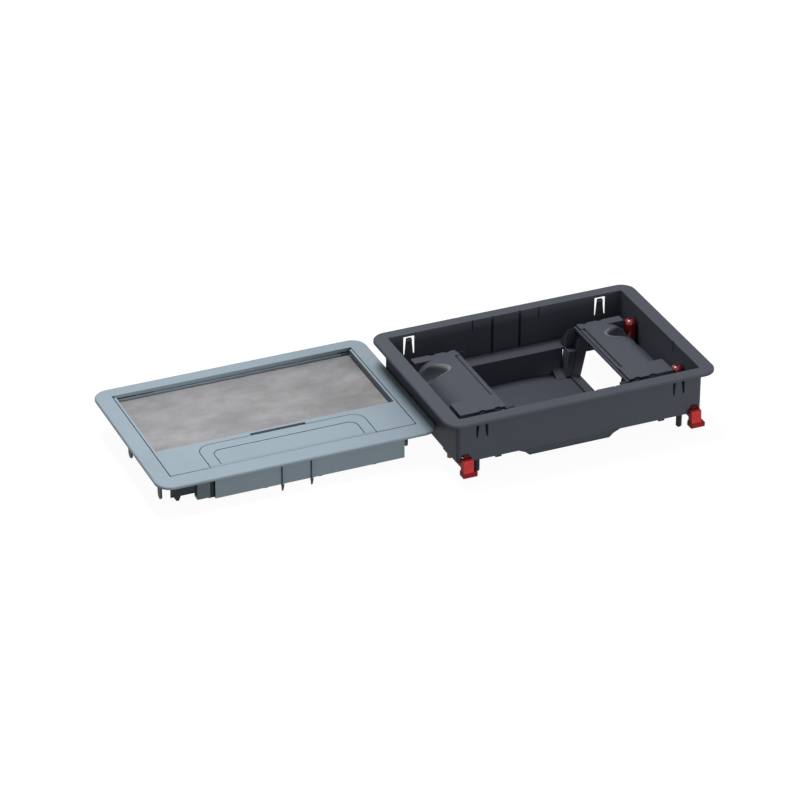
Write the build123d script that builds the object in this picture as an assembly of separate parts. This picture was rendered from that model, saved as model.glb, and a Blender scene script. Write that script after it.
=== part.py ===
"""Floor socket box: a box that hangs in a floor cut-out, and its hinged cover set laid down beside it.

Frame: +X along the long side, +Y to the rear, +Z up. The origin is the middle of the floor cut-out,
at the level of the finished floor, which is the underside of the box's flange. Millimetres.
"""
from build123d import *
from math import cos, radians, sin, tan
import os

# Flange and walls of the box
FLANGE_LENGTH = 276.0
FLANGE_WIDTH = 193.0
FLANGE_THICKNESS = 3.0
FLANGE_CORNER_R = 15.0
FLANGE_EDGE = 1.0
FLANGE_LAND_X = 12.4
FLANGE_LAND_Y = 10.3
BOX_DEPTH = 43.0
BOX_WALL = 2.2
BOX_CORNER_R = 4.0
BOX_LENGTH = FLANGE_LENGTH - 2 * FLANGE_LAND_X
BOX_WIDTH = FLANGE_WIDTH - 2 * FLANGE_LAND_Y
INNER_X = BOX_LENGTH / 2 - BOX_WALL
INNER_Y = BOX_WIDTH / 2 - BOX_WALL

# Running gaps between pieces that move past each other, and between pieces that rest on each other
GAP = 0.3
SEAT_GAP = 0.1
PIN_CLEARANCE = 0.05

# Ledge at the bottom of the walls, and the opening over the wiring spaces
LEDGE_TOP = -36.5
LEDGE_THICKNESS = 2.0
LEDGE_BOTTOM = LEDGE_TOP - LEDGE_THICKNESS
LEDGE_END_WIDTH = 17.4
LEDGE_FRONT_WIDTH = 44.0
LEDGE_REAR_WIDTH = 31.0
WIRING_OPENING_END_X = INNER_X - LEDGE_END_WIDTH
WIRING_OPENING_FRONT_Y = LEDGE_FRONT_WIDTH - INNER_Y
WIRING_OPENING_REAR_Y = INNER_Y - LEDGE_REAR_WIDTH

# Spring tongues in the long walls
TONGUE_FROM_END = 22.4
TONGUE_X = INNER_X - TONGUE_FROM_END
TONGUE_WINDOW_WIDTH = 12.0
TONGUE_WINDOW_DEPTH = 20.0
TONGUE_SLOT = 2.5
TONGUE_ROOT_SLOT = 1.75
TONGUE_TIP_WIDTH = 5.0
TONGUE_HOOK = 1.4
TONGUE_HOOK_HEIGHT = 5.6

# Grooves that guide the fins of the cover, short slots, and tabs on the walls' lower edges
GROOVE_XS = (-14.0, 15.0)
FIN_THICKNESS = 1.5
FIN_REACH = 0.6
FIN_CLEARANCE = 0.3
SHORT_SLOT_X = 35.0
SHORT_SLOT_WIDTH = 1.4
SHORT_SLOT_DEPTH = 12.0
SIDE_SLOT_Y = -29.0
WALL_TAB_FROM_END = 39.4
WALL_TAB_X = INNER_X - WALL_TAB_FROM_END
WALL_TAB_WIDTH = 6.0
WALL_TAB_DEPTH = 1.6

# Pegs under the front and rear ledge
PEG_FROM_END = 18.9
PEG_FROM_WALL = 1.8
PEG_X = INNER_X - PEG_FROM_END
PEG_Y = INNER_Y - PEG_FROM_WALL
PEG_R = 2.8
PEG_TIP_R = 1.6
PEG_TIP_HEIGHT = 1.4
PEG_BOTTOM = -57.0

# Plug tray
TRAY_HALF_LENGTH = 52.0
TRAY_FRONT_SPACE = 21.0
TRAY_REAR_SPACE = 18.0
TRAY_FRONT_Y = TRAY_FRONT_SPACE - INNER_Y
TRAY_REAR_Y = INNER_Y - TRAY_REAR_SPACE
TRAY_BOTTOM = -65.0
TRAY_WALL = 2.0
TRAY_RIM_WIDTH = 10.0
TRAY_RIM_THICKNESS = 1.5
TRAY_FLOOR_EDGE = 1.6
TRAY_CROWN_RISE = 2.4
TRAY_CROWN_HALF = 43.0
TRAY_POST_REACH = 11.0
TRAY_HOOK_X = 30.0
TRAY_HOOK_WIDTH = 8.0
TRAY_HOOK_REACH = 1.3
TRAY_HOOK_HEIGHT = 4.0
TRAY_RIM_TOP = LEDGE_TOP + TRAY_RIM_THICKNESS

# Sloped lower corners, which the tray and the socket frames share
CORNER_START_X = 41.5
CORNER_STEP_X = 46.0
CORNER_STEP_RISE = 4.0
CORNER_END_X = 52.0
CORNER_END_RISE = 6.5
CORNER_SLOPE_DEPTH = 13.0
CORNER_SLOPE_RISE = 7.0
CORNER_WALL = 1.8

# Socket frames, one each side of the tray
SOCKET_LEAN = 12.0
SOCKET_FOOT_X = 56.0
SOCKET_FOOT_Z = -63.0
SOCKET_DEPTH = 10.5
SOCKET_PLATE = 2.5
MODULE_WIDTH = 22.5
MODULE_HEIGHT = 45.0
SOCKET_END_ROOM = 39.0
SOCKET_OFF_MIDDLE = 6.0
SOCKET_SILL = 1.5
SOCKET_RIM_WALL = 2.0
SOCKET_EAR_REACH = 8.5
SOCKET_EAR_INNER_X = 54.5
SOCKET_EAR_WIDTH = 10.4
SOCKET_EAR_TOP = 6.0
TOP_RAIL_INNER_X = 61.6
TOP_RAIL_WIDTH = 15.0
TOP_RAIL_THICKNESS = 2.0
LATCH_SLOT_LENGTH = 12.0
LATCH_SLOT_WIDTH = 2.0
LEAN = radians(SOCKET_LEAN)
MODULES = int((TRAY_REAR_Y - TRAY_FRONT_Y - SOCKET_END_ROOM) / MODULE_WIDTH)
APERTURE_WIDTH = MODULES * MODULE_WIDTH
SOCKET_CENTRE_Y = (TRAY_FRONT_Y + TRAY_REAR_Y) / 2 + SOCKET_OFF_MIDDLE
APERTURE_FRONT_Y = SOCKET_CENTRE_Y - APERTURE_WIDTH / 2
APERTURE_REAR_Y = SOCKET_CENTRE_Y + APERTURE_WIDTH / 2

# Wiring covers over the spaces behind the sockets
WIRING_COVER_TOP = -10.5
WIRING_COVER_PLATE = 2.0
WIRING_COVER_INNER_X = 64.0
WIRING_COVER_END_SPACE = 13.4
WIRING_COVER_FRONT_SPACE = 27.0
WIRING_COVER_REAR_SPACE = 24.0
WIRING_COVER_OUTER_X = INNER_X - WIRING_COVER_END_SPACE
WIRING_COVER_FRONT_Y = WIRING_COVER_FRONT_SPACE - INNER_Y
WIRING_COVER_REAR_Y = INNER_Y - WIRING_COVER_REAR_SPACE
WIRING_COVER_SKIRT = 9.0
WIRING_COVER_SKIRT_WALL = 1.6
FRONT_BLOCK_LENGTH = 24.0
REAR_BLOCK_LENGTH = 10.0
ROLL_OFF_R = 21.3
ROLL_OFF_WIDTH = 20.0
ROLL_OFF_DROP = 14.0
SCOOP_FROM_REAR = 29.0
SCOOP_LENGTH = 27.0
SCOOP_TIP_X = WIRING_COVER_OUTER_X - SCOOP_LENGTH
SCOOP_R = 20.0
SCOOP_TILT = 32.0
SCOOP_WALL = 1.6
SCOOP_BOTTOM = -26.5
COVER_LEG_WIDTH = 5.0
COVER_LEG_INNER_INSET = 16.0
COVER_LEG_OUTER_INSET = 6.0
COVER_NOTCH_WIDTH = 5.0
COVER_NOTCH_DEPTH = 1.6
COVER_NOTCH_INNER_INSET = 8.0
COVER_NOTCH_OUTER_INSET = 22.0
WIRING_COVER_UNDER = WIRING_COVER_TOP - WIRING_COVER_PLATE
FRONT_BLOCK_Y = WIRING_COVER_FRONT_Y + FRONT_BLOCK_LENGTH
REAR_BLOCK_Y = WIRING_COVER_REAR_Y - REAR_BLOCK_LENGTH
RAIL_TOP = WIRING_COVER_UNDER - SEAT_GAP

# Clamps at the corners
CLAMP_FROM_END = 6.4
CLAMP_ARM_LENGTH = 34.0
CLAMP_SCREW_X = INNER_X - CLAMP_FROM_END
CLAMP_SCREW_Y = INNER_Y - CLAMP_ARM_LENGTH
CLAMP_POST_R = 4.0
CLAMP_HEAD_R = 4.8
CLAMP_HEAD_TOP = -10.0
CLAMP_HEAD_HEIGHT = 5.0
CLAMP_HEAD_DOME_R = 3.0
CLAMP_HEAD_DOME_HEIGHT = 2.2
CLAMP_HEAD_NECK_HEIGHT = 0.8
CLAMP_THREAD_R = 3.0
CLAMP_SCREW_BOTTOM = -57.0
CLAMP_SLEEVE_R = 5.5
CLAMP_SLEEVE_TOP = -18.0
CROSS_SLOT_LENGTH = 5.0
CROSS_SLOT_WIDTH = 1.2
CROSS_SLOT_DEPTH = 2.4
JAW_FROM_END = 5.4
JAW_X = INNER_X - JAW_FROM_END
JAW_ARM_WIDTH = 6.0
JAW_ARM_BOTTOM = -49.5
JAW_ARM_THICKNESS = 3.8
JAW_NUT_HALF = 5.2
JAW_FACE_WIDTH = 9.4
JAW_FACE_TOP = -39.5
JAW_FACE_THICKNESS = 1.5
JAW_LIP_WIDTH = 16.8
JAW_LIP_REACH = 8.3
JAW_LIP_SHELF = 1.2
JAW_LIP_HEIGHT = 5.0
JAW_LIP_BOTTOM = -55.5
JAW_NOTCH_TOP = -35.0

# Cover set, drawn about the middle of its own flange top, then laid down beside the box
COVER_APART_X = 0.4
COVER_SHIFT_Y = 48.6
COVER_FLANGE_THICKNESS = 3.0
COVER_FOOT_DEPTH = 38.5
SKIRT_CLEARANCE = 0.2
SKIRT_WALL = 2.0
SKIRT_SIDE_WALL = 1.4
LID_GAP = 0.6
LID_HALF_LENGTH = INNER_X - SKIRT_CLEARANCE - SKIRT_SIDE_WALL - LID_GAP
LID_FRONT_SPACE = 6.5
LID_REAR_SPACE = 2.6
LID_FRONT_Y = LID_FRONT_SPACE - INNER_Y
LID_REAR_Y = INNER_Y - LID_REAR_SPACE
LID_THICKNESS = 11.0
LID_CORNER_R = 2.0
LID_PANEL = 2.5
LID_TOP_PLATE = 3.0
LID_CROSS_BAR = 9.0
FIELD_RIM = 2.5
PLATEAU_WIDTH = 46.5
FIELD_REAR_RIM = 1.0
FIELD_FRONT_Y = LID_FRONT_Y + PLATEAU_WIDTH
FIELD_REAR_Y = LID_REAR_Y - FIELD_REAR_RIM
FIELD_DEPTH = 7.0
FIELD_REAR_BORDER_DROP = 4.5
PLATE_THICKNESS = 1.5
PLATE_GAP = 0.3
HINGE_SWING_R = 5.4
HINGE_Y = LID_REAR_Y - HINGE_SWING_R
HINGE_Z = -5.0
HINGE_PIN_R = 1.5
SKIRT_FRONT_SPACE = 1.4
SKIRT_LEFT_INSET = 41.0
SKIRT_RIGHT_INSET = 13.5
SKIRT_FRONT_Y = SKIRT_FRONT_SPACE - INNER_Y
SKIRT_LEFT_X = SKIRT_LEFT_INSET - LID_HALF_LENGTH
SKIRT_RIGHT_X = LID_HALF_LENGTH - SKIRT_RIGHT_INSET
SKIRT_BOTTOM = -30.5
SKIRT_TAB_XS = (-30.0, 24.0, 78.0)
SKIRT_TAB_WIDTH = 3.6
SKIRT_TAB_DROP = 1.0
SKIRT_END_TAB_WIDTH = 2.4
SKIRT_END_TAB_BOTTOM = -14.0
SIDE_SKIRT_BOTTOM = -20.0
SIDE_SKIRT_INSET = 15.5
SIDE_SKIRT_FRONT_Y = LID_FRONT_Y + SIDE_SKIRT_INSET
LID_REST_WIDTH = 3.5
LID_REST_THICKNESS = 2.0
LID_REST_INSET = 15.4
LID_REST_END_Y = LID_REAR_Y - LID_REST_INSET
FRONT_LUG_INSET = 12.0
REAR_LUG_Y = 30.0
SIDE_LUG_YS = (SIDE_SKIRT_FRONT_Y + FRONT_LUG_INSET, REAR_LUG_Y)
SIDE_LUG_WIDTH = 9.0
PILLAR_INSET = 23.5
PILLAR_WIDTH = 12.5
PILLAR_LEFT_X = PILLAR_INSET - LID_HALF_LENGTH
PILLAR_RIGHT_X = PILLAR_LEFT_X + PILLAR_WIDTH
PILLAR_BOTTOM = -28.0
ARCH_INSET = 0.2
ARCH_POINT_INSET = 4.2
ARCH_LEFT_X = ARCH_INSET - LID_HALF_LENGTH
ARCH_POINT_X = ARCH_POINT_INSET - LID_HALF_LENGTH
ARCH_POINT_WIDTH = 2.5
ARCH_POINT_Z = -26.0
ARCH_TOP_Z = -19.5
ARCH_RECESS = 2.6
RECESS_WALL_INSET = 46.0
RECESS_WALL_END_X = RECESS_WALL_INSET - LID_HALF_LENGTH
RECESS_WALL_BOTTOM = -24.0
FIN_ROOT = 2.0

# Handle flap at the front of the lid
FLAP_END_INSET = 39.2
FLAP_REAR_INSET = 6.7
FLAP_HALF_LENGTH = LID_HALF_LENGTH - FLAP_END_INSET
FLAP_REAR_Y = FIELD_FRONT_Y - FLAP_REAR_INSET
FLAP_THICKNESS = 3.0
FLAP_CORNER_R = 13.0
FLAP_AXIS_INSET = 3.0
FLAP_AXIS_Y = LID_FRONT_Y + FLAP_AXIS_INSET
FLAP_NOSE_R = 2.9
FLAP_GAP = 0.5
FLAP_PIN_R = 1.0
FLAP_PIN_HALF = 5.0
FLAP_LINE_END_INSET = 10.5
FLAP_LINE_REAR_INSET = 11.8
FLAP_LINE_HALF_LENGTH = FLAP_HALF_LENGTH - FLAP_LINE_END_INSET
FLAP_LINE_REAR_Y = FLAP_REAR_Y - FLAP_LINE_REAR_INSET
FLAP_LINE_R = 8.5
FLAP_LINE_WIDTH = 1.0
FLAP_LINE_DEPTH = 0.8
FINGER_SLOT_HALF = 27.3
FINGER_SLOT_WIDTH = 3.5
FINGER_SLOT_DEPTH = 5.0
POCKET_FLOOR = 2.2
OUTLET_END_INSET = 16.0
OUTLET_FRONT_INSET = 7.5
OUTLET_WIDTH = 20.0
OUTLET_HALF_LENGTH = FLAP_HALF_LENGTH - OUTLET_END_INSET
OUTLET_FRONT_Y = LID_FRONT_Y + OUTLET_FRONT_INSET
OUTLET_REAR_Y = OUTLET_FRONT_Y + OUTLET_WIDTH

# Where the cover set lies
COVER_TOP = TRAY_BOTTOM + COVER_FOOT_DEPTH
COVER_X = -(BOX_LENGTH / 2 + FLANGE_LENGTH / 2 + COVER_APART_X)
COVER_OFFSET = Pos(COVER_X, COVER_SHIFT_Y, COVER_TOP)


def block(x0, x1, y0, y1, z0, z1):
    """A box given by its two corners."""
    size = (x1 - x0, y1 - y0, z1 - z0)
    return Pos((x0 + x1) / 2, (y0 + y1) / 2, (z0 + z1) / 2) * Box(*size)


def rounded_block(x0, x1, y0, y1, z0, z1, corner_r):
    """A box with its four upright edges rounded."""
    outline = RectangleRounded(x1 - x0, y1 - y0, corner_r)
    return Pos((x0 + x1) / 2, (y0 + y1) / 2, z0) * extrude(outline, z1 - z0)


def slab_yz(points, x0, x1):
    """A plate with an outline in Y and Z, from x0 to x1."""
    face = Plane.YZ * make_face(Polyline(*points, close=True))
    return Pos(x0, 0, 0) * extrude(face, x1 - x0, dir=(1, 0, 0))


def slab_xz(points, y0, y1):
    """A plate with an outline in X and Z, from y0 to y1."""
    face = make_face(Polyline(*[(x, 0, z) for x, z in points], close=True))
    return Pos(0, y0, 0) * extrude(face, y1 - y0, dir=(0, 1, 0))


def rod_x(radius, x0, x1, y, z):
    """A round bar along X."""
    return Pos((x0 + x1) / 2, y, z) * Rot(0, 90, 0) * Cylinder(radius, x1 - x0)


def rod_y(radius, x, z, y0, y1):
    """A round bar along Y."""
    return Pos(x, (y0 + y1) / 2, z) * Rot(90, 0, 0) * Cylinder(radius, y1 - y0)


def rod_z(radius, x, y, z0, z1):
    """A round bar along Z."""
    return Pos(x, y, (z0 + z1) / 2) * Cylinder(radius, z1 - z0)


def flange_plate(thickness):
    """Rounded flange with a bevelled upper edge, its underside at z = 0."""
    outline = RectangleRounded(FLANGE_LENGTH, FLANGE_WIDTH, FLANGE_CORNER_R)
    plate = extrude(outline, thickness)
    top_edges = plate.faces().sort_by(Axis.Z)[-1].outer_wire().edges()
    return chamfer(top_edges, FLANGE_EDGE)


def four_corners():
    """Signs of X and Y for the four corners."""
    return [(side_x, side_y) for side_x in (-1, 1) for side_y in (-1, 1)]


# Box body


def ledge_opening():
    """Opening inside the ledge: wide for the tray and socket frames, shorter for the wiring spaces."""
    top = LEDGE_TOP + GAP
    bottom = LEDGE_BOTTOM - GAP
    socket_end = socket_inner_x(LEDGE_TOP) + SOCKET_DEPTH / cos(LEAN) + 2 * GAP
    middle = block(-socket_end, socket_end, TRAY_FRONT_Y - GAP, TRAY_REAR_Y + GAP, bottom, top)
    ends = block(
        -WIRING_OPENING_END_X, WIRING_OPENING_END_X,
        WIRING_OPENING_FRONT_Y, WIRING_OPENING_REAR_Y, bottom, top)
    return middle + ends


def tongue_window(side_x, side_y):
    """The U-shaped cut round one spring tongue."""
    half = TONGUE_WINDOW_WIDTH / 2
    wall_outer = BOX_WIDTH / 2 + GAP
    wall_inner = INNER_Y - GAP
    window = block(-half, half, wall_inner, wall_outer, -TONGUE_WINDOW_DEPTH, 0)
    root_half = half - TONGUE_ROOT_SLOT
    tongue_outline = [
        (-root_half, -TONGUE_WINDOW_DEPTH),
        (root_half, -TONGUE_WINDOW_DEPTH),
        (TONGUE_TIP_WIDTH / 2, -TONGUE_SLOT),
        (-TONGUE_TIP_WIDTH / 2, -TONGUE_SLOT),
    ]
    tongue = slab_xz(tongue_outline, wall_inner, wall_outer)
    cut = window - tongue
    if side_y < 0:
        cut = mirror(cut, Plane.XZ)
    return Pos(side_x * TONGUE_X, 0, 0) * cut


def tongue_hook(side_x, side_y):
    """The catch on a tongue's tip, which holds the cover down."""
    tip_z = -TONGUE_SLOT
    outline = [
        (INNER_Y, tip_z),
        (INNER_Y - TONGUE_HOOK, tip_z - TONGUE_HOOK),
        (INNER_Y, tip_z - TONGUE_HOOK_HEIGHT),
    ]
    hook = slab_yz(outline, -TONGUE_TIP_WIDTH / 2, TONGUE_TIP_WIDTH / 2)
    if side_y < 0:
        hook = mirror(hook, Plane.XZ)
    return Pos(side_x * TONGUE_X, 0, 0) * hook


def wall_grooves():
    """Guide grooves for the cover's fins, and short slots, cut into the inner faces."""
    fin_half = FIN_THICKNESS / 2 + FIN_CLEARANCE
    reach = FIN_REACH + FIN_CLEARANCE
    cuts = []
    half = SHORT_SLOT_WIDTH / 2
    slot_bottom = FLANGE_THICKNESS - SHORT_SLOT_DEPTH
    top = FLANGE_THICKNESS + GAP
    for side_y in (-1, 1):
        y0, y1 = sorted((side_y * (INNER_Y - GAP), side_y * (INNER_Y + reach)))
        for x in GROOVE_XS:
            cuts.append(block(x - fin_half, x + fin_half, y0, y1, TRAY_RIM_TOP, top))
        for x in (-SHORT_SLOT_X, SHORT_SLOT_X):
            cuts.append(block(x - half, x + half, y0, y1, slot_bottom, top))
    for side_x in (-1, 1):
        x0, x1 = sorted((side_x * (INNER_X - GAP), side_x * (INNER_X + reach)))
        cuts.append(block(x0, x1, SIDE_SLOT_Y - half, SIDE_SLOT_Y + half, slot_bottom, top))
    return cuts


def box_body():
    """Flange, walls and ledge in one moulding."""
    half_length = BOX_LENGTH / 2
    half_width = BOX_WIDTH / 2
    walls = rounded_block(
        -half_length, half_length, -half_width, half_width, -BOX_DEPTH, FLANGE_THICKNESS / 2, BOX_CORNER_R)
    top = FLANGE_THICKNESS + GAP
    bottom = -BOX_DEPTH - GAP
    inner_r = BOX_CORNER_R - BOX_WALL
    upper_room = rounded_block(-INNER_X, INNER_X, -INNER_Y, INNER_Y, LEDGE_TOP, top, inner_r)
    lower_room = rounded_block(-INNER_X, INNER_X, -INNER_Y, INNER_Y, bottom, LEDGE_BOTTOM, inner_r)
    body = flange_plate(FLANGE_THICKNESS) + walls
    body -= upper_room
    body -= lower_room
    body -= ledge_opening()
    for side_x, side_y in four_corners():
        body -= tongue_window(side_x, side_y)
        body += tongue_hook(side_x, side_y)
        body += clamp_sleeve(side_x, side_y)
        body -= clamp_clearance(side_x, side_y)
        body += locating_peg(side_x, side_y)
        body += wall_tab(side_x, side_y)
    for cut in wall_grooves():
        body -= cut
    return body


def clamp_sleeve(side_x, side_y):
    """Sleeve on the ledge that guides a clamp screw's shoulder."""
    x, y = side_x * CLAMP_SCREW_X, side_y * CLAMP_SCREW_Y
    return rod_z(CLAMP_SLEEVE_R, x, y, LEDGE_TOP, CLAMP_SLEEVE_TOP)


def clamp_clearance(side_x, side_y):
    """Stepped bore for the screw, and the notch in the wall that the jaw's arm climbs in."""
    x, y = side_x * CLAMP_SCREW_X, side_y * CLAMP_SCREW_Y
    cut = rod_z(CLAMP_THREAD_R + PIN_CLEARANCE, x, y, LEDGE_BOTTOM - GAP, LEDGE_TOP)
    cut += rod_z(CLAMP_POST_R + PIN_CLEARANCE, x, y, LEDGE_TOP, CLAMP_SLEEVE_TOP + GAP)
    half = JAW_ARM_WIDTH / 2 + GAP
    x0, x1 = side_x * JAW_X - half, side_x * JAW_X + half
    y0, y1 = sorted((side_y * INNER_Y, side_y * (BOX_WIDTH / 2 + GAP)))
    cut += block(x0, x1, y0, y1, -BOX_DEPTH - GAP, JAW_NOTCH_TOP)
    y0, y1 = sorted((side_y * (INNER_Y - BOX_CORNER_R), side_y * INNER_Y))
    return cut + block(x0, x1, y0, y1, -BOX_DEPTH - GAP, LEDGE_BOTTOM)


def locating_peg(side_x, side_y):
    """Peg under the ledge, tapered at its tip."""
    tip_top = PEG_BOTTOM + PEG_TIP_HEIGHT
    x, y = side_x * PEG_X, side_y * PEG_Y
    shaft = rod_z(PEG_R, x, y, tip_top, LEDGE_BOTTOM + LEDGE_THICKNESS / 2)
    return shaft + Pos(x, y, PEG_BOTTOM + PEG_TIP_HEIGHT / 2) * Cone(PEG_TIP_R, PEG_R, PEG_TIP_HEIGHT)


def wall_tab(side_x, side_y):
    """Small tab on the lower edge of a long wall."""
    y0, y1 = sorted((side_y * INNER_Y, side_y * BOX_WIDTH / 2))
    x = side_x * WALL_TAB_X
    half = WALL_TAB_WIDTH / 2
    return block(x - half, x + half, y0, y1, -BOX_DEPTH - WALL_TAB_DEPTH, -BOX_DEPTH)


# Plug tray


def socket_inner_x(z):
    """X of a socket frame's inner face at height z."""
    return SOCKET_FOOT_X + (z - SOCKET_FOOT_Z) * tan(LEAN)


def tray_post(side_x, y0, y1):
    """Upright guide that a socket frame leans against."""
    outline = [
        (TRAY_HALF_LENGTH - TRAY_WALL / 2, TRAY_BOTTOM),
        (socket_inner_x(TRAY_BOTTOM) - GAP, TRAY_BOTTOM),
        (socket_inner_x(TRAY_RIM_TOP) - GAP, TRAY_RIM_TOP),
        (TRAY_HALF_LENGTH + TRAY_WALL, TRAY_RIM_TOP),
    ]
    post = slab_xz(outline, y0, y1)
    if side_x < 0:
        post = mirror(post, Plane.YZ)
    return post


def plug_tray():
    """Deep tray for the plugs, hung on the ledge by its rims and open towards the socket frames."""
    half = TRAY_HALF_LENGTH
    shell = block(-half, half, TRAY_FRONT_Y, TRAY_REAR_Y, TRAY_BOTTOM, TRAY_RIM_TOP)
    y0 = TRAY_FRONT_Y + TRAY_WALL
    y1 = TRAY_REAR_Y - TRAY_WALL
    floor_edge = TRAY_BOTTOM + TRAY_FLOOR_EDGE
    room = block(-half - GAP, half + GAP, y0, y1, floor_edge, TRAY_RIM_TOP + GAP)
    crown_r = (TRAY_CROWN_HALF**2 + TRAY_CROWN_RISE**2) / (2 * TRAY_CROWN_RISE)
    crown = rod_y(crown_r, 0, floor_edge + TRAY_CROWN_RISE - crown_r, y0, y1)
    crown = crown & block(-half, half, y0, y1, floor_edge - TRAY_FLOOR_EDGE / 2, TRAY_RIM_TOP)
    tray = shell - room + crown
    floor_end = socket_inner_x(TRAY_BOTTOM) - GAP
    tray += block(-floor_end, floor_end, y0, y1, TRAY_BOTTOM, floor_edge)
    rim_x = half + TRAY_WALL
    tray += block(-rim_x, rim_x, TRAY_FRONT_Y - TRAY_RIM_WIDTH, y0, LEDGE_TOP, TRAY_RIM_TOP)
    tray += block(-rim_x, rim_x, y1, TRAY_REAR_Y + TRAY_RIM_WIDTH, LEDGE_TOP, TRAY_RIM_TOP)
    for side_x in (-1, 1):
        tray += tray_post(side_x, TRAY_FRONT_Y, y0 + TRAY_POST_REACH)
        tray += tray_post(side_x, y1 - TRAY_POST_REACH, TRAY_REAR_Y)
    for side_x, side_y in four_corners():
        tray += corner_piece(corner_slope(side_y, CORNER_WALL), CORNER_START_X, floor_end, side_x)
        tray -= corner_waste(side_x, side_y)
        tray += tray_hook(side_x, side_y)
    return tray


def corner_slope(side_y, above):
    """Outline in Y and Z of the ground under a sloped lower corner, raised by the given height."""
    wall_y = TRAY_REAR_Y if side_y > 0 else TRAY_FRONT_Y
    outer = wall_y + side_y * GAP
    rise_out = CORNER_SLOPE_RISE * (CORNER_SLOPE_DEPTH + GAP) / CORNER_SLOPE_DEPTH
    run_in = wall_y - side_y * CORNER_SLOPE_DEPTH
    if above:
        outer = wall_y - side_y * TRAY_WALL / 2
        rise_out = CORNER_SLOPE_RISE
    return [
        (outer, TRAY_BOTTOM - GAP if not above else TRAY_BOTTOM),
        (outer, TRAY_BOTTOM + rise_out + above),
        (run_in, TRAY_BOTTOM + above),
        (run_in, TRAY_BOTTOM - GAP if not above else TRAY_BOTTOM),
    ]


def corner_piece(outline, x0, x1, side_x):
    """A plate with an outline in Y and Z between two distances from the middle, on one side."""
    piece = slab_yz(outline, x0, x1)
    if side_x < 0:
        piece = mirror(piece, Plane.YZ)
    return piece


def corner_waste(side_x, side_y):
    """What is cut away below a sloped lower corner of the tray and of the socket frame."""
    far_x = SOCKET_FOOT_X + 2 * SOCKET_DEPTH
    outline = [
        (CORNER_START_X, TRAY_BOTTOM - GAP),
        (CORNER_START_X, TRAY_BOTTOM),
        (CORNER_STEP_X, TRAY_BOTTOM + CORNER_STEP_RISE),
        (CORNER_END_X, TRAY_BOTTOM + CORNER_END_RISE),
        (CORNER_END_X, TRAY_BOTTOM + 2 * CORNER_SLOPE_RISE),
        (far_x, TRAY_BOTTOM + 2 * CORNER_SLOPE_RISE),
        (far_x, TRAY_BOTTOM - GAP),
    ]
    steps = slab_xz(outline, TRAY_FRONT_Y - GAP, TRAY_REAR_Y + GAP)
    if side_x < 0:
        steps = mirror(steps, Plane.YZ)
    return steps & corner_piece(corner_slope(side_y, 0), CORNER_START_X, far_x, side_x)


def tray_hook(side_x, side_y):
    """Snap hook that holds the tray under the ledge."""
    wall_y = TRAY_REAR_Y if side_y > 0 else -TRAY_FRONT_Y
    top = LEDGE_BOTTOM - SEAT_GAP
    outline = [
        (wall_y - TRAY_WALL / 2, top),
        (wall_y + TRAY_HOOK_REACH, top),
        (wall_y, top - TRAY_HOOK_HEIGHT),
        (wall_y - TRAY_WALL / 2, top - TRAY_HOOK_HEIGHT),
    ]
    hook = slab_yz(outline, -TRAY_HOOK_WIDTH / 2, TRAY_HOOK_WIDTH / 2)
    if side_y < 0:
        hook = mirror(hook, Plane.XZ)
    return Pos(side_x * TRAY_HOOK_X, 0, 0) * hook


# Socket frames


def leaning(shape):
    """Stand a shape up on the lean: its X is depth outwards, its Z is height along the slope."""
    return Pos(SOCKET_FOOT_X, 0, SOCKET_FOOT_Z) * Rot(0, SOCKET_LEAN, 0) * shape


def socket_frame_right():
    """Frame with an opening for a row of modules, carried by ears on the ledge and by its top rail."""
    front = TRAY_FRONT_Y + TRAY_WALL + GAP
    rear = TRAY_REAR_Y - TRAY_WALL - GAP
    slope_top = (RAIL_TOP - SOCKET_FOOT_Z) / cos(LEAN)
    sill = SOCKET_SILL
    head = sill + MODULE_HEIGHT
    rim = SOCKET_RIM_WALL
    plate = block(0, SOCKET_PLATE, front, rear, -sill, slope_top)
    tube = block(0, SOCKET_DEPTH, APERTURE_FRONT_Y - rim, APERTURE_REAR_Y + rim, -sill, head + rim)
    aperture = block(-GAP, SOCKET_DEPTH + GAP, APERTURE_FRONT_Y, APERTURE_REAR_Y, sill, head)
    front_wall = block(0, SOCKET_DEPTH, front, front + rim, -sill, head + rim)
    rear_wall = block(0, SOCKET_DEPTH, rear - rim, rear, -sill, head + rim)
    frame = leaning(plate + tube + front_wall + rear_wall - aperture)
    frame += socket_ears(front, rear)
    frame += block(
        TOP_RAIL_INNER_X, TOP_RAIL_INNER_X + TOP_RAIL_WIDTH, WIRING_COVER_FRONT_Y, WIRING_COVER_REAR_Y,
        RAIL_TOP - TOP_RAIL_THICKNESS, RAIL_TOP)
    reach = FLANGE_LENGTH
    frame -= block(0, reach, -reach, reach, -reach, TRAY_BOTTOM + SEAT_GAP)
    frame -= block(0, reach, -reach, reach, RAIL_TOP, reach)
    for side_y in (-1, 1):
        frame -= corner_waste(1, side_y)
    latch_z = (head + rim + slope_top) / 2
    half_length = LATCH_SLOT_LENGTH / 2
    half_width = LATCH_SLOT_WIDTH / 2
    for y in (APERTURE_FRONT_Y + MODULE_WIDTH, APERTURE_REAR_Y - MODULE_WIDTH):
        slot = block(
            -GAP, SOCKET_PLATE + GAP, y - half_length, y + half_length,
            latch_z - half_width, latch_z + half_width)
        frame -= leaning(slot)
    return frame


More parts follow.
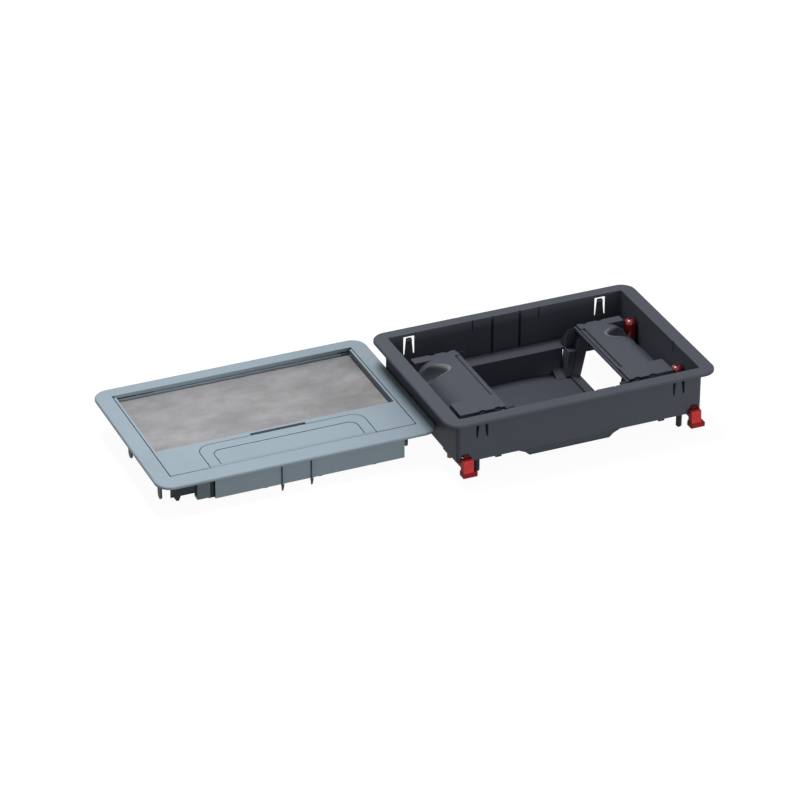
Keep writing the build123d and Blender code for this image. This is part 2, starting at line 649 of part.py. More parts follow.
def socket_ears(front, rear):
    """Sloping shoulders that rest on the ledge and the tray's rim in front of and behind the frame."""
    rest_x = socket_inner_x(LEDGE_TOP) + GAP
    outer_x = SOCKET_EAR_INNER_X + SOCKET_EAR_WIDTH
    ears = []
    for wall_y, top_y, side_y in ((rear, WIRING_COVER_REAR_Y, 1), (-front, -WIRING_COVER_FRONT_Y, -1)):
        reach_y = wall_y + GAP + TRAY_WALL + SOCKET_EAR_REACH
        for foot, x0, x1 in (
                (LEDGE_TOP, rest_x, outer_x), (TRAY_RIM_TOP + SEAT_GAP, SOCKET_EAR_INNER_X, rest_x + GAP)):
            outline = [
                (wall_y - SOCKET_RIM_WALL, foot),
                (reach_y, foot),
                (reach_y, foot + SOCKET_RIM_WALL),
                (top_y - SOCKET_RIM_WALL, RAIL_TOP),
                (wall_y - SOCKET_EAR_TOP, RAIL_TOP),
            ]
            ear = slab_yz(outline, x0, x1)
            if side_y < 0:
                ear = mirror(ear, Plane.XZ)
            ears.append(ear)
    return ears[0] + ears[1] + ears[2] + ears[3]


# Wiring covers


def rolled_block(edge_z, inset, y0, y1):
    """Block under the cover's top whose outer edge rolls off, shrunk by an inset."""
    roll_x = WIRING_COVER_OUTER_X - ROLL_OFF_WIDTH
    top = WIRING_COVER_TOP - inset
    flat = block(WIRING_COVER_INNER_X, roll_x, y0, y1, edge_z, top)
    roll = rod_y(ROLL_OFF_R - inset, roll_x, WIRING_COVER_TOP - ROLL_OFF_R, y0, y1)
    return flat + (roll & block(roll_x, WIRING_COVER_OUTER_X, y0, y1, edge_z, top))


def end_block(y0, y1):
    """Straight-sided end of the cover, open below and towards the rail of the socket frame."""
    wall = WIRING_COVER_SKIRT_WALL
    bottom = WIRING_COVER_TOP - WIRING_COVER_SKIRT
    rail_end = TOP_RAIL_INNER_X + TOP_RAIL_WIDTH + GAP
    body = block(WIRING_COVER_INNER_X, WIRING_COVER_OUTER_X, y0, y1, bottom, WIRING_COVER_TOP)
    room = block(
        rail_end, WIRING_COVER_OUTER_X - wall, y0 + wall, y1 - wall, bottom - GAP, WIRING_COVER_UNDER)
    rail_way = block(
        WIRING_COVER_INNER_X - GAP, rail_end, y0 - GAP, y1 + GAP, bottom - GAP, WIRING_COVER_UNDER)
    return body - room - rail_way


def scoop_bar(radius):
    """Long bar, tilted down to the outer edge, whose lower side forms the finger scoop."""
    tilt = radians(SCOOP_TILT)
    length = 4 * SCOOP_R
    start_x = SCOOP_TIP_X + SCOOP_R * sin(tilt)
    start_z = WIRING_COVER_TOP + SCOOP_R * cos(tilt)
    start = Pos(start_x, WIRING_COVER_REAR_Y - SCOOP_FROM_REAR, start_z)
    return start * Rot(0, 90 + SCOOP_TILT, 0) * Cylinder(radius, length)


def wiring_cover_right():
    """Loose plate over the wiring space: raised ends, a rolled-off middle and a finger scoop."""
    top = WIRING_COVER_TOP
    edge_z = top - ROLL_OFF_DROP
    middle = rolled_block(edge_z, 0, FRONT_BLOCK_Y, REAR_BLOCK_Y)
    cover = middle - rolled_block(edge_z - GAP, WIRING_COVER_PLATE, FRONT_BLOCK_Y, REAR_BLOCK_Y)
    cover += end_block(WIRING_COVER_FRONT_Y, FRONT_BLOCK_Y)
    cover += end_block(REAR_BLOCK_Y, WIRING_COVER_REAR_Y)
    cover += scoop_bar(SCOOP_R + SCOOP_WALL) & rolled_block(SCOOP_BOTTOM, 0, FRONT_BLOCK_Y, REAR_BLOCK_Y)
    cover -= scoop_bar(SCOOP_R)
    for x in (WIRING_COVER_INNER_X + COVER_LEG_INNER_INSET, WIRING_COVER_OUTER_X - COVER_LEG_OUTER_INSET):
        x0 = x - COVER_LEG_WIDTH / 2
        for y0 in (WIRING_COVER_FRONT_Y, WIRING_COVER_REAR_Y - WIRING_COVER_SKIRT_WALL):
            leg_y1 = y0 + WIRING_COVER_SKIRT_WALL
            cover += block(x0, x0 + COVER_LEG_WIDTH, y0, leg_y1, LEDGE_TOP + SEAT_GAP, WIRING_COVER_UNDER)
    for x in (WIRING_COVER_INNER_X + COVER_NOTCH_INNER_INSET,
              WIRING_COVER_OUTER_X - COVER_NOTCH_OUTER_INSET):
        x0 = x - COVER_NOTCH_WIDTH / 2
        for y in (WIRING_COVER_FRONT_Y, WIRING_COVER_REAR_Y):
            cover -= block(
                x0, x0 + COVER_NOTCH_WIDTH, y - COVER_NOTCH_DEPTH, y + COVER_NOTCH_DEPTH,
                WIRING_COVER_UNDER - GAP, top + GAP)
    return cover


# Clamps


def clamp_screw(side_x, side_y):
    """Red plastic screw with a domed head, a cross recess, a shoulder and a long thread."""
    seat = LEDGE_TOP + SEAT_GAP
    neck = CLAMP_HEAD_TOP - CLAMP_HEAD_HEIGHT
    profile = make_face(Polyline(
        (0, 0, CLAMP_SCREW_BOTTOM),
        (CLAMP_THREAD_R, 0, CLAMP_SCREW_BOTTOM),
        (CLAMP_THREAD_R, 0, seat),
        (CLAMP_POST_R, 0, seat),
        (CLAMP_POST_R, 0, neck),
        (CLAMP_HEAD_R, 0, neck + CLAMP_HEAD_NECK_HEIGHT),
        (CLAMP_HEAD_R, 0, CLAMP_HEAD_TOP - CLAMP_HEAD_DOME_HEIGHT),
        (CLAMP_HEAD_DOME_R, 0, CLAMP_HEAD_TOP),
        (0, 0, CLAMP_HEAD_TOP),
        close=True))
    screw = revolve(profile, Axis.Z)
    slot_bottom = CLAMP_HEAD_TOP - CROSS_SLOT_DEPTH
    half_length = CROSS_SLOT_LENGTH / 2
    half_width = CROSS_SLOT_WIDTH / 2
    screw -= block(-half_length, half_length, -half_width, half_width, slot_bottom, CLAMP_HEAD_TOP + GAP)
    screw -= block(-half_width, half_width, -half_length, half_length, slot_bottom, CLAMP_HEAD_TOP + GAP)
    return Pos(side_x * CLAMP_SCREW_X, side_y * CLAMP_SCREW_Y, 0) * screw


def clamp_jaw(side_x, side_y):
    """Jaw on the screw's thread: a nut, an arm under the wall and a lip that grips the floor from below."""
    arm_half = JAW_ARM_WIDTH / 2
    arm_top = JAW_ARM_BOTTOM + JAW_ARM_THICKNESS
    face_y = BOX_WIDTH / 2 + GAP
    jaw = block(
        JAW_X - arm_half, JAW_X + arm_half, CLAMP_SCREW_Y, face_y + JAW_FACE_THICKNESS,
        JAW_ARM_BOTTOM, arm_top)
    jaw += block(
        CLAMP_SCREW_X - JAW_NUT_HALF, CLAMP_SCREW_X + JAW_NUT_HALF, CLAMP_SCREW_Y - JAW_NUT_HALF,
        CLAMP_SCREW_Y + JAW_NUT_HALF, JAW_ARM_BOTTOM, arm_top)
    lip_top = JAW_LIP_BOTTOM + JAW_LIP_HEIGHT
    face_outline = [
        (face_y, JAW_FACE_TOP),
        (face_y + JAW_FACE_THICKNESS, JAW_FACE_TOP),
        (face_y + JAW_LIP_REACH - JAW_LIP_SHELF, lip_top),
        (face_y + JAW_LIP_REACH, lip_top),
        (face_y + JAW_LIP_REACH, JAW_LIP_BOTTOM),
        (face_y, JAW_LIP_BOTTOM),
    ]
    jaw += slab_yz(face_outline, JAW_X - JAW_FACE_WIDTH / 2, JAW_X + JAW_FACE_WIDTH / 2)
    lip_half = JAW_LIP_WIDTH / 2
    lip_y = face_y + JAW_LIP_REACH
    jaw += block(JAW_X - lip_half, JAW_X + lip_half, face_y, lip_y, JAW_LIP_BOTTOM, lip_top)
    thread_r = CLAMP_THREAD_R + PIN_CLEARANCE
    jaw -= rod_z(thread_r, CLAMP_SCREW_X, CLAMP_SCREW_Y, JAW_ARM_BOTTOM - GAP, arm_top + GAP)
    if side_x < 0:
        jaw = mirror(jaw, Plane.YZ)
    if side_y < 0:
        jaw = mirror(jaw, Plane.XZ)
    return jaw


# Cover set, about its own middle


def cover_frame():
    """Frame of the cover: flange, skirt with fins, lugs and tabs, and the rests that the lid lies on."""
    under = -COVER_FLANGE_THICKNESS
    open_x = LID_HALF_LENGTH + LID_GAP
    open_front = LID_FRONT_Y - LID_GAP
    open_rear = LID_REAR_Y + LID_GAP
    side_x = open_x + SKIRT_SIDE_WALL
    rear_y = open_rear + SKIRT_SIDE_WALL
    skirt_back = SKIRT_FRONT_Y + SKIRT_WALL
    rest_top = -LID_THICKNESS - SEAT_GAP
    rest_bottom = rest_top - LID_REST_THICKNESS
    frame = Pos(0, 0, under) * flange_plate(COVER_FLANGE_THICKNESS)
    frame += block(SKIRT_LEFT_X, SKIRT_RIGHT_X, SKIRT_FRONT_Y, skirt_back, SKIRT_BOTTOM, under)
    frame += block(
        SKIRT_RIGHT_X, SKIRT_RIGHT_X + SKIRT_END_TAB_WIDTH, SKIRT_FRONT_Y, skirt_back,
        SKIRT_END_TAB_BOTTOM, under)
    frame += block(SKIRT_LEFT_X, SKIRT_RIGHT_X, open_rear, rear_y, SKIRT_BOTTOM, under)
    frame += block(-side_x, side_x, open_rear, rear_y, SIDE_SKIRT_BOTTOM, under)
    for side in (-1, 1):
        x0, x1 = sorted((side * open_x, side * side_x))
        frame += block(x0, x1, SIDE_SKIRT_FRONT_Y, rear_y, SIDE_SKIRT_BOTTOM, under)
        for y in SIDE_LUG_YS:
            frame += side_lug(x0, x1, y)
        x0, x1 = sorted((side * (open_x - LID_REST_WIDTH), side * side_x))
        frame += block(x0, x1, SIDE_SKIRT_FRONT_Y, LID_REST_END_Y, rest_bottom, rest_top)
    rest_back = open_front + LID_REST_WIDTH
    arch_y = SKIRT_FRONT_Y + ARCH_RECESS
    frame += block(ARCH_LEFT_X, SKIRT_RIGHT_X, arch_y, rest_back, rest_bottom, rest_top)
    frame += block(SKIRT_LEFT_X, SKIRT_RIGHT_X, SKIRT_FRONT_Y, rest_back, rest_bottom, rest_top)
    frame += block(
        ARCH_LEFT_X, RECESS_WALL_END_X, rest_back - SKIRT_SIDE_WALL, rest_back,
        RECESS_WALL_BOTTOM, rest_top)
    frame += block(PILLAR_LEFT_X, PILLAR_RIGHT_X, SKIRT_FRONT_Y, rest_back, PILLAR_BOTTOM, under)
    frame += arched_wall(under)
    frame -= block(-open_x, open_x, open_front, open_rear, rest_top, GAP)
    for x in GROOVE_XS:
        frame += fin(x, -skirt_back, -1)
        frame += fin(x, open_rear, 1)
    for x in SKIRT_TAB_XS:
        half = SKIRT_TAB_WIDTH / 2
        tab_y = SKIRT_FRONT_Y + SKIRT_WALL / 2
        frame += block(x - half, x + half, tab_y, skirt_back, SKIRT_BOTTOM - SKIRT_TAB_DROP, SKIRT_BOTTOM)
    return frame - rod_x(HINGE_PIN_R, -side_x - GAP, side_x + GAP, HINGE_Y, HINGE_Z)


def fin(x, wall_inner, side_y):
    """Pointed fin that slides down a groove of the box; it wraps the skirt's lower edge."""
    reach = INNER_Y + FIN_REACH
    inner = wall_inner - FIN_ROOT
    outline = [
        (reach, -COVER_FLANGE_THICKNESS),
        (reach, SKIRT_BOTTOM),
        ((reach + inner) / 2, -COVER_FOOT_DEPTH),
        (inner, SKIRT_BOTTOM),
        (inner, SKIRT_BOTTOM + FIN_ROOT),
        (wall_inner, SKIRT_BOTTOM + 3 * FIN_ROOT),
        (wall_inner, -COVER_FLANGE_THICKNESS),
    ]
    plate = slab_yz(outline, x - FIN_THICKNESS / 2, x + FIN_THICKNESS / 2)
    if side_y < 0:
        plate = mirror(plate, Plane.XZ)
    return plate


def side_lug(x0, x1, y):
    """Round-ended lug below a side wall, which the cover stands on when it is laid down."""
    half = SIDE_LUG_WIDTH / 2
    centre_z = -COVER_FOOT_DEPTH + half
    lug = block(x0, x1, y - half, y + half, centre_z, -COVER_FLANGE_THICKNESS)
    return lug + rod_x(half, x0, x1, y, centre_z)


def arched_wall(under):
    """Set-back wall at the front left corner, with a point and a shallow arch in its lower edge."""
    outline = [
        (ARCH_LEFT_X, under),
        (ARCH_LEFT_X, ARCH_TOP_Z),
        (ARCH_POINT_X, ARCH_POINT_Z),
        (ARCH_POINT_X + ARCH_POINT_WIDTH, ARCH_POINT_Z),
        (ARCH_POINT_X + 2 * ARCH_POINT_WIDTH, ARCH_TOP_Z),
        (PILLAR_LEFT_X - ARCH_POINT_WIDTH, ARCH_TOP_Z),
        (PILLAR_LEFT_X, ARCH_POINT_Z),
        (PILLAR_LEFT_X, under),
    ]
    front = SKIRT_FRONT_Y + ARCH_RECESS
    return slab_xz(outline, front, front + SKIRT_WALL)


def lid():
    """Hinged lid: a rim round the low field at the rear, and a plateau with the flap's pocket in front."""
    half = LID_HALF_LENGTH
    body = rounded_block(-half, half, LID_FRONT_Y, LID_REAR_Y, -LID_THICKNESS, 0, LID_CORNER_R)
    field_half = half - FIELD_RIM
    field_floor = -FIELD_DEPTH - PLATE_THICKNESS
    body -= block(-field_half, field_half, FIELD_FRONT_Y, FIELD_REAR_Y, field_floor, GAP)
    body -= block(-field_half, field_half, FIELD_FRONT_Y, LID_REAR_Y + GAP, -FIELD_REAR_BORDER_DROP, GAP)
    body -= hinge_corner_waste()
    body -= rod_x(HINGE_PIN_R + PIN_CLEARANCE, -half - GAP, half + GAP, HINGE_Y, HINGE_Z)
    body -= plateau_hollows()
    body -= flap_pocket()
    body -= block(
        -FINGER_SLOT_HALF, FINGER_SLOT_HALF, FLAP_REAR_Y, FLAP_REAR_Y + FLAP_GAP + FINGER_SLOT_WIDTH,
        -FINGER_SLOT_DEPTH, GAP)
    body -= block(
        -OUTLET_HALF_LENGTH, OUTLET_HALF_LENGTH, OUTLET_FRONT_Y, OUTLET_REAR_Y, -LID_THICKNESS - GAP, GAP)
    for side in (-1, 1):
        pin_end = FLAP_HALF_LENGTH + FLAP_GAP + FLAP_PIN_HALF
        x0, x1 = sorted((side * (FLAP_HALF_LENGTH - GAP), side * pin_end))
        body -= rod_x(FLAP_PIN_R, x0, x1, FLAP_AXIS_Y, -FLAP_THICKNESS)
    return body


def hinge_corner_waste():
    """What is cut off the rear corners so that they turn past the frame."""
    end_x = LID_HALF_LENGTH + GAP
    top_corner = block(-end_x, end_x, HINGE_Y, LID_REAR_Y + GAP, HINGE_Z, GAP)
    return top_corner - rod_x(HINGE_SWING_R, -FLANGE_LENGTH, FLANGE_LENGTH, HINGE_Y, HINGE_Z)


def plateau_hollows():
    """Hollows under the front plateau, one in the middle and one at each end."""
    wall = LID_PANEL
    rear = FIELD_FRONT_Y - wall
    pin_block = FLAP_HALF_LENGTH + FLAP_GAP + FLAP_PIN_HALF + wall
    middle_top = -FLAP_THICKNESS - FLAP_GAP - POCKET_FLOOR
    front = FLAP_AXIS_Y + FLAP_NOSE_R + FLAP_GAP + wall
    middle = block(
        -FLAP_HALF_LENGTH, FLAP_HALF_LENGTH, front, FIELD_FRONT_Y - LID_CROSS_BAR,
        -LID_THICKNESS - GAP, middle_top)
    ends = []
    for side in (-1, 1):
        x0, x1 = sorted((side * pin_block, side * (LID_HALF_LENGTH - wall)))
        ends.append(block(x0, x1, LID_FRONT_Y + wall, rear, -LID_THICKNESS - GAP, -LID_TOP_PLATE))
    return middle + ends[0] + ends[1]


def flap_outline(half, rear_y, front_y, corner_r):
    """Outline of the flap, square in front and rounded at the rear, on the top plane."""
    outline = RectangleRounded(2 * half, 2 * (rear_y - front_y), corner_r)
    keep = Pos(0, (rear_y - front_y) / 2) * Rectangle(2 * half + 1, rear_y - front_y)
    return Pos(0, front_y, 0) * (outline & keep)


def flap_pocket():
    """Pocket for the flap and its hinge barrel."""
    half = FLAP_HALF_LENGTH + FLAP_GAP
    outline = flap_outline(half, FLAP_REAR_Y + FLAP_GAP, LID_FRONT_Y - GAP, FLAP_CORNER_R + FLAP_GAP)
    depth = FLAP_THICKNESS + FLAP_GAP
    pocket = Pos(0, 0, -depth) * extrude(outline, depth + GAP)
    reach = FLAP_NOSE_R + FLAP_GAP
    return pocket + block(-half, half, LID_FRONT_Y - GAP, FLAP_AXIS_Y + reach, -FLAP_THICKNESS - reach, 0)


def handle_flap():
    """Flap that lifts to open the lid and to let the cords out, with a line pressed into its top."""
    half = FLAP_HALF_LENGTH
    outline = flap_outline(half, FLAP_REAR_Y, FLAP_AXIS_Y, FLAP_CORNER_R)
    flap = Pos(0, 0, -FLAP_THICKNESS) * extrude(outline, FLAP_THICKNESS)
    flap += rod_x(FLAP_NOSE_R, -half, half, FLAP_AXIS_Y, -FLAP_THICKNESS)
    line_outer = flap_outline(FLAP_LINE_HALF_LENGTH, FLAP_LINE_REAR_Y, FLAP_AXIS_Y, FLAP_LINE_R)
    line_inner = flap_outline(
        FLAP_LINE_HALF_LENGTH - FLAP_LINE_WIDTH, FLAP_LINE_REAR_Y - FLAP_LINE_WIDTH, FLAP_AXIS_Y,
        FLAP_LINE_R - FLAP_LINE_WIDTH)
    flap -= Pos(0, 0, -FLAP_LINE_DEPTH) * extrude(line_outer - line_inner, FLAP_LINE_DEPTH + GAP)
    for side in (-1, 1):
        x0, x1 = sorted((side * (half - FLAP_PIN_HALF), side * (half + GAP)))
        flap -= rod_x(FLAP_PIN_R + PIN_CLEARANCE, x0, x1, FLAP_AXIS_Y, -FLAP_THICKNESS)
    return flap


def reinforcement_plate():
    """Flat plate that stiffens the low field and carries the floor covering."""
    half = LID_HALF_LENGTH - FIELD_RIM - PLATE_GAP
    return rounded_block(
        -half, half, FIELD_FRONT_Y + PLATE_GAP, FIELD_REAR_Y - PLATE_GAP, -FIELD_DEPTH - PLATE_THICKNESS,
        -FIELD_DEPTH, PLATE_THICKNESS)


def lid_hinge_pin(side):
    """Short pin from the frame's side wall into the lid's rim."""
    inner = LID_HALF_LENGTH - FIELD_RIM
    outer = LID_HALF_LENGTH + LID_GAP + SKIRT_SIDE_WALL
    x0, x1 = sorted((side * inner, side * outer))
    return rod_x(HINGE_PIN_R, x0, x1, HINGE_Y, HINGE_Z)


def flap_hinge_pin(side):
    """Pin fixed in the lid that one end of the flap turns on."""
    middle = FLAP_HALF_LENGTH + FLAP_GAP
    x0, x1 = sorted((side * (middle - FLAP_PIN_HALF + GAP), side * (middle + FLAP_PIN_HALF)))
    return rod_x(FLAP_PIN_R, x0, x1, FLAP_AXIS_Y, -FLAP_THICKNESS)


def all_pieces():
    """Every piece by name, in place."""
    frame_right = socket_frame_right()
    wiring_right = wiring_cover_right()
    pieces = {
        "box_body": box_body(),
        "plug_tray": plug_tray(),
        "socket_frame_right": frame_right,
        "socket_frame_left": mirror(frame_right, Plane.YZ),
        "wiring_cover_right": wiring_right,
        "wiring_cover_left": mirror(wiring_right, Plane.YZ),
    }
    names = {(-1, -1): "front_left", (1, -1): "front_right", (-1, 1): "rear_left", (1, 1): "rear_right"}
    for corner, name in names.items():
        pieces["clamp_screw_" + name] = clamp_screw(*corner)
        pieces["clamp_jaw_" + name] = clamp_jaw(*corner)
    cover_set = {
        "cover_frame": cover_frame(),
        "lid": lid(),
        "lid_reinforcement_plate": reinforcement_plate(),
        "handle_flap": handle_flap(),
        "lid_hinge_pin_left": lid_hinge_pin(-1),
        "lid_hinge_pin_right": lid_hinge_pin(1),
        "flap_hinge_pin_left": flap_hinge_pin(-1),
        "flap_hinge_pin_right": flap_hinge_pin(1),
    }
    for name, piece in cover_set.items():
        pieces[name] = COVER_OFFSET * piece
    return pieces


os.makedirs("parts", exist_ok=True)
for node, piece in all_pieces().items():
    export_step(piece, "parts/" + node + ".step")
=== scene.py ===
import math
import bpy
import bmesh
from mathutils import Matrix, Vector


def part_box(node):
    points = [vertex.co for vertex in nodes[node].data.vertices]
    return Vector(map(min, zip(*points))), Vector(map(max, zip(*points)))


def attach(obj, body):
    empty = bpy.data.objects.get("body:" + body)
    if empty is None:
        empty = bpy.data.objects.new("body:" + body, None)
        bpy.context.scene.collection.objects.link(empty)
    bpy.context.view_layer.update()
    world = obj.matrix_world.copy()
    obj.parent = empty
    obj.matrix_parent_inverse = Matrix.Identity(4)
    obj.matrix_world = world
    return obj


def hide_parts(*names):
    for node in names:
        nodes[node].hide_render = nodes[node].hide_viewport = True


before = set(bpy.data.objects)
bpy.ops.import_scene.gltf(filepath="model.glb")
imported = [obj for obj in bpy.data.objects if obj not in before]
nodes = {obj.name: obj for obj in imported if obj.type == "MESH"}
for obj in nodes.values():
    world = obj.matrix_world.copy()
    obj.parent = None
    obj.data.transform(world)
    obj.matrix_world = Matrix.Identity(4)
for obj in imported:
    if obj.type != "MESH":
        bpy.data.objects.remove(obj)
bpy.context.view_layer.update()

# Standing place
# The box stands on its tray and the cover set lies beside it on its fins and lugs, both on one wide
# white tabletop. The camera looks down on them from the left front.
table_z = min(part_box("plug_tray")[0][2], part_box("cover_frame")[0][2])
view_turn, view_rise = math.radians(-23.13), math.radians(29.73)
toward_camera = Vector((
    math.sin(view_turn) * math.cos(view_rise),
    -math.cos(view_turn) * math.cos(view_rise),
    math.sin(view_rise)))
camera_data = bpy.data.cameras.new("camera")
camera_data.lens = 169.38
camera_data.sensor_width = 36.0
camera_data.clip_end = 30.0
camera = bpy.data.objects.new("camera", camera_data)
bpy.context.scene.collection.objects.link(camera)
camera.location = (-1.345, -2.806, 1.727)
camera.rotation_euler = (-toward_camera).to_track_quat("-Z", "Y").to_euler()
bpy.context.scene.camera = camera
bpy.context.scene.view_settings.view_transform = "Standard"


def bare_finish(name):
    """An empty node material: the material, its node tree and its output."""
    made = bpy.data.materials.new(name)
    made.use_nodes = True
    tree = made.node_tree
    tree.nodes.clear()
    output = tree.nodes.new("ShaderNodeOutputMaterial")
    return made, tree, output


def seen_directly(tree):
    """One where the camera, a gloss or a clear material looks on, nought where light bounces."""
    path = tree.nodes.new("ShaderNodeLightPath")
    seen = path.outputs["Is Camera Ray"]
    for other in ("Is Glossy Ray", "Is Transmission Ray"):
        either = tree.nodes.new("ShaderNodeMath")
        either.operation = "MAXIMUM"
        tree.links.new(seen, either.inputs[0])
        tree.links.new(path.outputs[other], either.inputs[1])
        seen = either.outputs[0]
    return seen


def white_with_shadow(tree, output, paint_grey, bounce_grey, glow, keep_shadow):
    """Pale diffuse surface that looks white and takes a soft shadow, but throws back less light."""
    paint = tree.nodes.new("ShaderNodeBsdfDiffuse")
    paint.inputs["Color"].default_value = (paint_grey, paint_grey, paint_grey, 1)
    bounce = tree.nodes.new("ShaderNodeBsdfDiffuse")
    bounce.inputs["Color"].default_value = (bounce_grey, bounce_grey, bounce_grey, 1)
    light = tree.nodes.new("ShaderNodeEmission")
    light.inputs["Color"].default_value = (1, 1, 1, 1)
    light.inputs["Strength"].default_value = glow
    both = tree.nodes.new("ShaderNodeMixShader")
    both.inputs[0].default_value = keep_shadow
    choose = tree.nodes.new("ShaderNodeMixShader")
    tree.links.new(light.outputs[0], both.inputs[1])
    tree.links.new(paint.outputs[0], both.inputs[2])
    tree.links.new(seen_directly(tree), choose.inputs[0])
    tree.links.new(bounce.outputs[0], choose.inputs[1])
    tree.links.new(both.outputs[0], choose.inputs[2])
    tree.links.new(choose.outputs[0], output.inputs["Surface"])


def table_top():
    """Wide white tabletop, its surface at the height that the feet stand on."""
    half, thickness = 4.0, 0.02
    mesh = bpy.data.meshes.new("tabletop")
    top = bmesh.new()
    bmesh.ops.create_cube(top, size=1.0)
    bmesh.ops.scale(top, vec=(2 * half, 2 * half, thickness), verts=top.verts)
    bmesh.ops.translate(top, vec=(0, 0, table_z - thickness / 2), verts=top.verts)
    top.to_mesh(mesh)
    top.free()
    piece = bpy.data.objects.new("tabletop", mesh)
    bpy.context.scene.collection.objects.link(piece)
    made, tree, output = bare_finish("tabletop_white")
    white_with_shadow(tree, output, paint_grey=0.86, bounce_grey=0.12, glow=1.08, keep_shadow=0.12)
    mesh.materials.append(made)


table_top()

# Studio light
# A broad soft lamp hangs over the set, a low wide one stands far in front at table height and lights
# the front walls alone, and a soft spot from above brightens the cover's left end. The room is brighter
# to the front right, so that what faces left stays dark.
brightest_way = (0.62, -0.68, 0.38)
room_dimmest, room_brightest = 0.02, 0.46
world = bpy.data.worlds.new("room")
bpy.context.scene.world = world
world.use_nodes = True
room_tree = world.node_tree
room_light = room_tree.nodes["Background"]
room_light.inputs["Color"].default_value = (1, 1, 1, 1)
room_way = room_tree.nodes.new("ShaderNodeTexCoord")
room_side = room_tree.nodes.new("ShaderNodeVectorMath")
room_side.operation = "DOT_PRODUCT"
room_side.inputs[1].default_value = brightest_way
room_fade = room_tree.nodes.new("ShaderNodeMapRange")
room_fade.inputs["From Min"].default_value = -1.0
room_fade.inputs["To Min"].default_value = room_dimmest
room_fade.inputs["To Max"].default_value = room_brightest
room_tree.links.new(room_way.outputs["Generated"], room_side.inputs[0])
room_tree.links.new(room_side.outputs["Value"], room_fade.inputs["Value"])
room_tree.links.new(room_fade.outputs[0], room_light.inputs["Strength"])
room_white = room_tree.nodes.new("ShaderNodeBackground")
room_white.inputs["Color"].default_value = (1, 1, 1, 1)
room_white.inputs["Strength"].default_value = 1.0
room_choice = room_tree.nodes.new("ShaderNodeMixShader")
room_tree.links.new(seen_directly(room_tree), room_choice.inputs[0])
room_tree.links.new(room_light.outputs[0], room_choice.inputs[1])
room_tree.links.new(room_white.outputs[0], room_choice.inputs[2])
room_tree.links.new(room_choice.outputs[0], room_tree.nodes["World Output"].inputs["Surface"])


def hang(lamp, place, aim):
    """Put a lamp at a place, facing a point."""
    one = bpy.data.objects.new(lamp.name, lamp)
    one.location = place
    one.rotation_euler = (Vector(aim) - Vector(place)).to_track_quat("-Z", "Y").to_euler()
    bpy.context.scene.collection.objects.link(one)


overhead = bpy.data.lights.new("overhead", "AREA")
overhead.size = 0.5
overhead.energy = 14.0
hang(overhead, (-0.20, 0.30, 1.25), (-0.04, 0.02, -0.02))

low_front = bpy.data.lights.new("low_front", "AREA")
low_front.shape = "RECTANGLE"
low_front.size = 0.7
low_front.size_y = 0.12
low_front.energy = 7.4
hang(low_front, (0.30, -1.30, 0.02), (-0.05, 0.0, -0.02))

left_spot = bpy.data.lights.new("left_spot", "SPOT")
left_spot.energy = 30.0
left_spot.spot_size = math.radians(32)
left_spot.spot_blend = 1.0
left_spot.shadow_soft_size = 0.10
hang(left_spot, (-0.45, -0.25, 1.25), (-0.42, -0.01, -0.03))

# Box body
# Anthracite glass-filled plastic, injection moulded with a fine eroded grain and a satin gloss. Its
# flange lies on the floor and its walls hang in the cut-out. The rear wall has two grooves with painted
# shade in them, and locating pegs with near-black painted shade stand below the ledge.
anthracite, anthracite_rubbed = (0.066, 0.073, 0.091), (0.10, 0.108, 0.13)
shade_black = (0.012, 0.013, 0.017)
groove_places, groove_half, groove_shade = (-0.0140, 0.0150), 0.0014, 0.8
rear_wall_inside, flange_underside = 0.0825, -0.0002
peg_root, peg_shade = -0.0432, 0.75


def soft_edges(tree, radius):
    """Normal with the edges rounded off, and how much an edge it is."""
    edge_from, edge_full = 1.0, 0.72
    round_off = tree.nodes.new("ShaderNodeBevel")
    round_off.samples = 6
    round_off.inputs["Radius"].default_value = radius
    flat = tree.nodes.new("ShaderNodeNewGeometry")
    along = tree.nodes.new("ShaderNodeVectorMath")
    along.operation = "DOT_PRODUCT"
    tree.links.new(round_off.outputs[0], along.inputs[0])
    tree.links.new(flat.outputs["Normal"], along.inputs[1])
    edge = tree.nodes.new("ShaderNodeMapRange")
    edge.inputs["From Min"].default_value = edge_from
    edge.inputs["From Max"].default_value = edge_full
    tree.links.new(along.outputs["Value"], edge.inputs["Value"])
    return round_off, edge


def clouds(tree, scale, detail, roughness=0.5, stretch=(1, 1, 1)):
    """Cloudy pattern in the object's own metres."""
    place = tree.nodes.new("ShaderNodeTexCoord")
    turn = tree.nodes.new("ShaderNodeMapping")
    turn.inputs["Scale"].default_value = stretch
    cloud = tree.nodes.new("ShaderNodeTexNoise")
    cloud.inputs["Scale"].default_value = scale
    cloud.inputs["Detail"].default_value = detail
    cloud.inputs["Roughness"].default_value = roughness
    tree.links.new(place.outputs["Object"], turn.inputs["Vector"])
    tree.links.new(turn.outputs[0], cloud.inputs["Vector"])
    return cloud


def painted_crevice_shade(tree, unpainted, colour):
    """The unpainted colour, with painted shade where the surface lies in a groove or an inner corner."""
    shade_reach, fully_shaded, open_enough, shade_tone = 0.004, 0.25, 0.85, 0.30
    # Painted shade: the ambient occlusion darkens grooves and inner corners.
    reach = tree.nodes.new("ShaderNodeAmbientOcclusion")
    reach.samples = 8
    reach.inputs["Distance"].default_value = shade_reach
    open_air = tree.nodes.new("ShaderNodeMapRange")
    open_air.inputs["From Min"].default_value = fully_shaded
    open_air.inputs["From Max"].default_value = open_enough
    tree.links.new(reach.outputs["AO"], open_air.inputs["Value"])
    crevice_shading = tree.nodes.new("ShaderNodeMix")
    crevice_shading.data_type = "RGBA"
    crevice_shading.inputs[6].default_value = (*[c * shade_tone for c in colour], 1)
    tree.links.new(open_air.outputs[0], crevice_shading.inputs[0])
    tree.links.new(unpainted, crevice_shading.inputs[7])
    return crevice_shading.outputs[2]


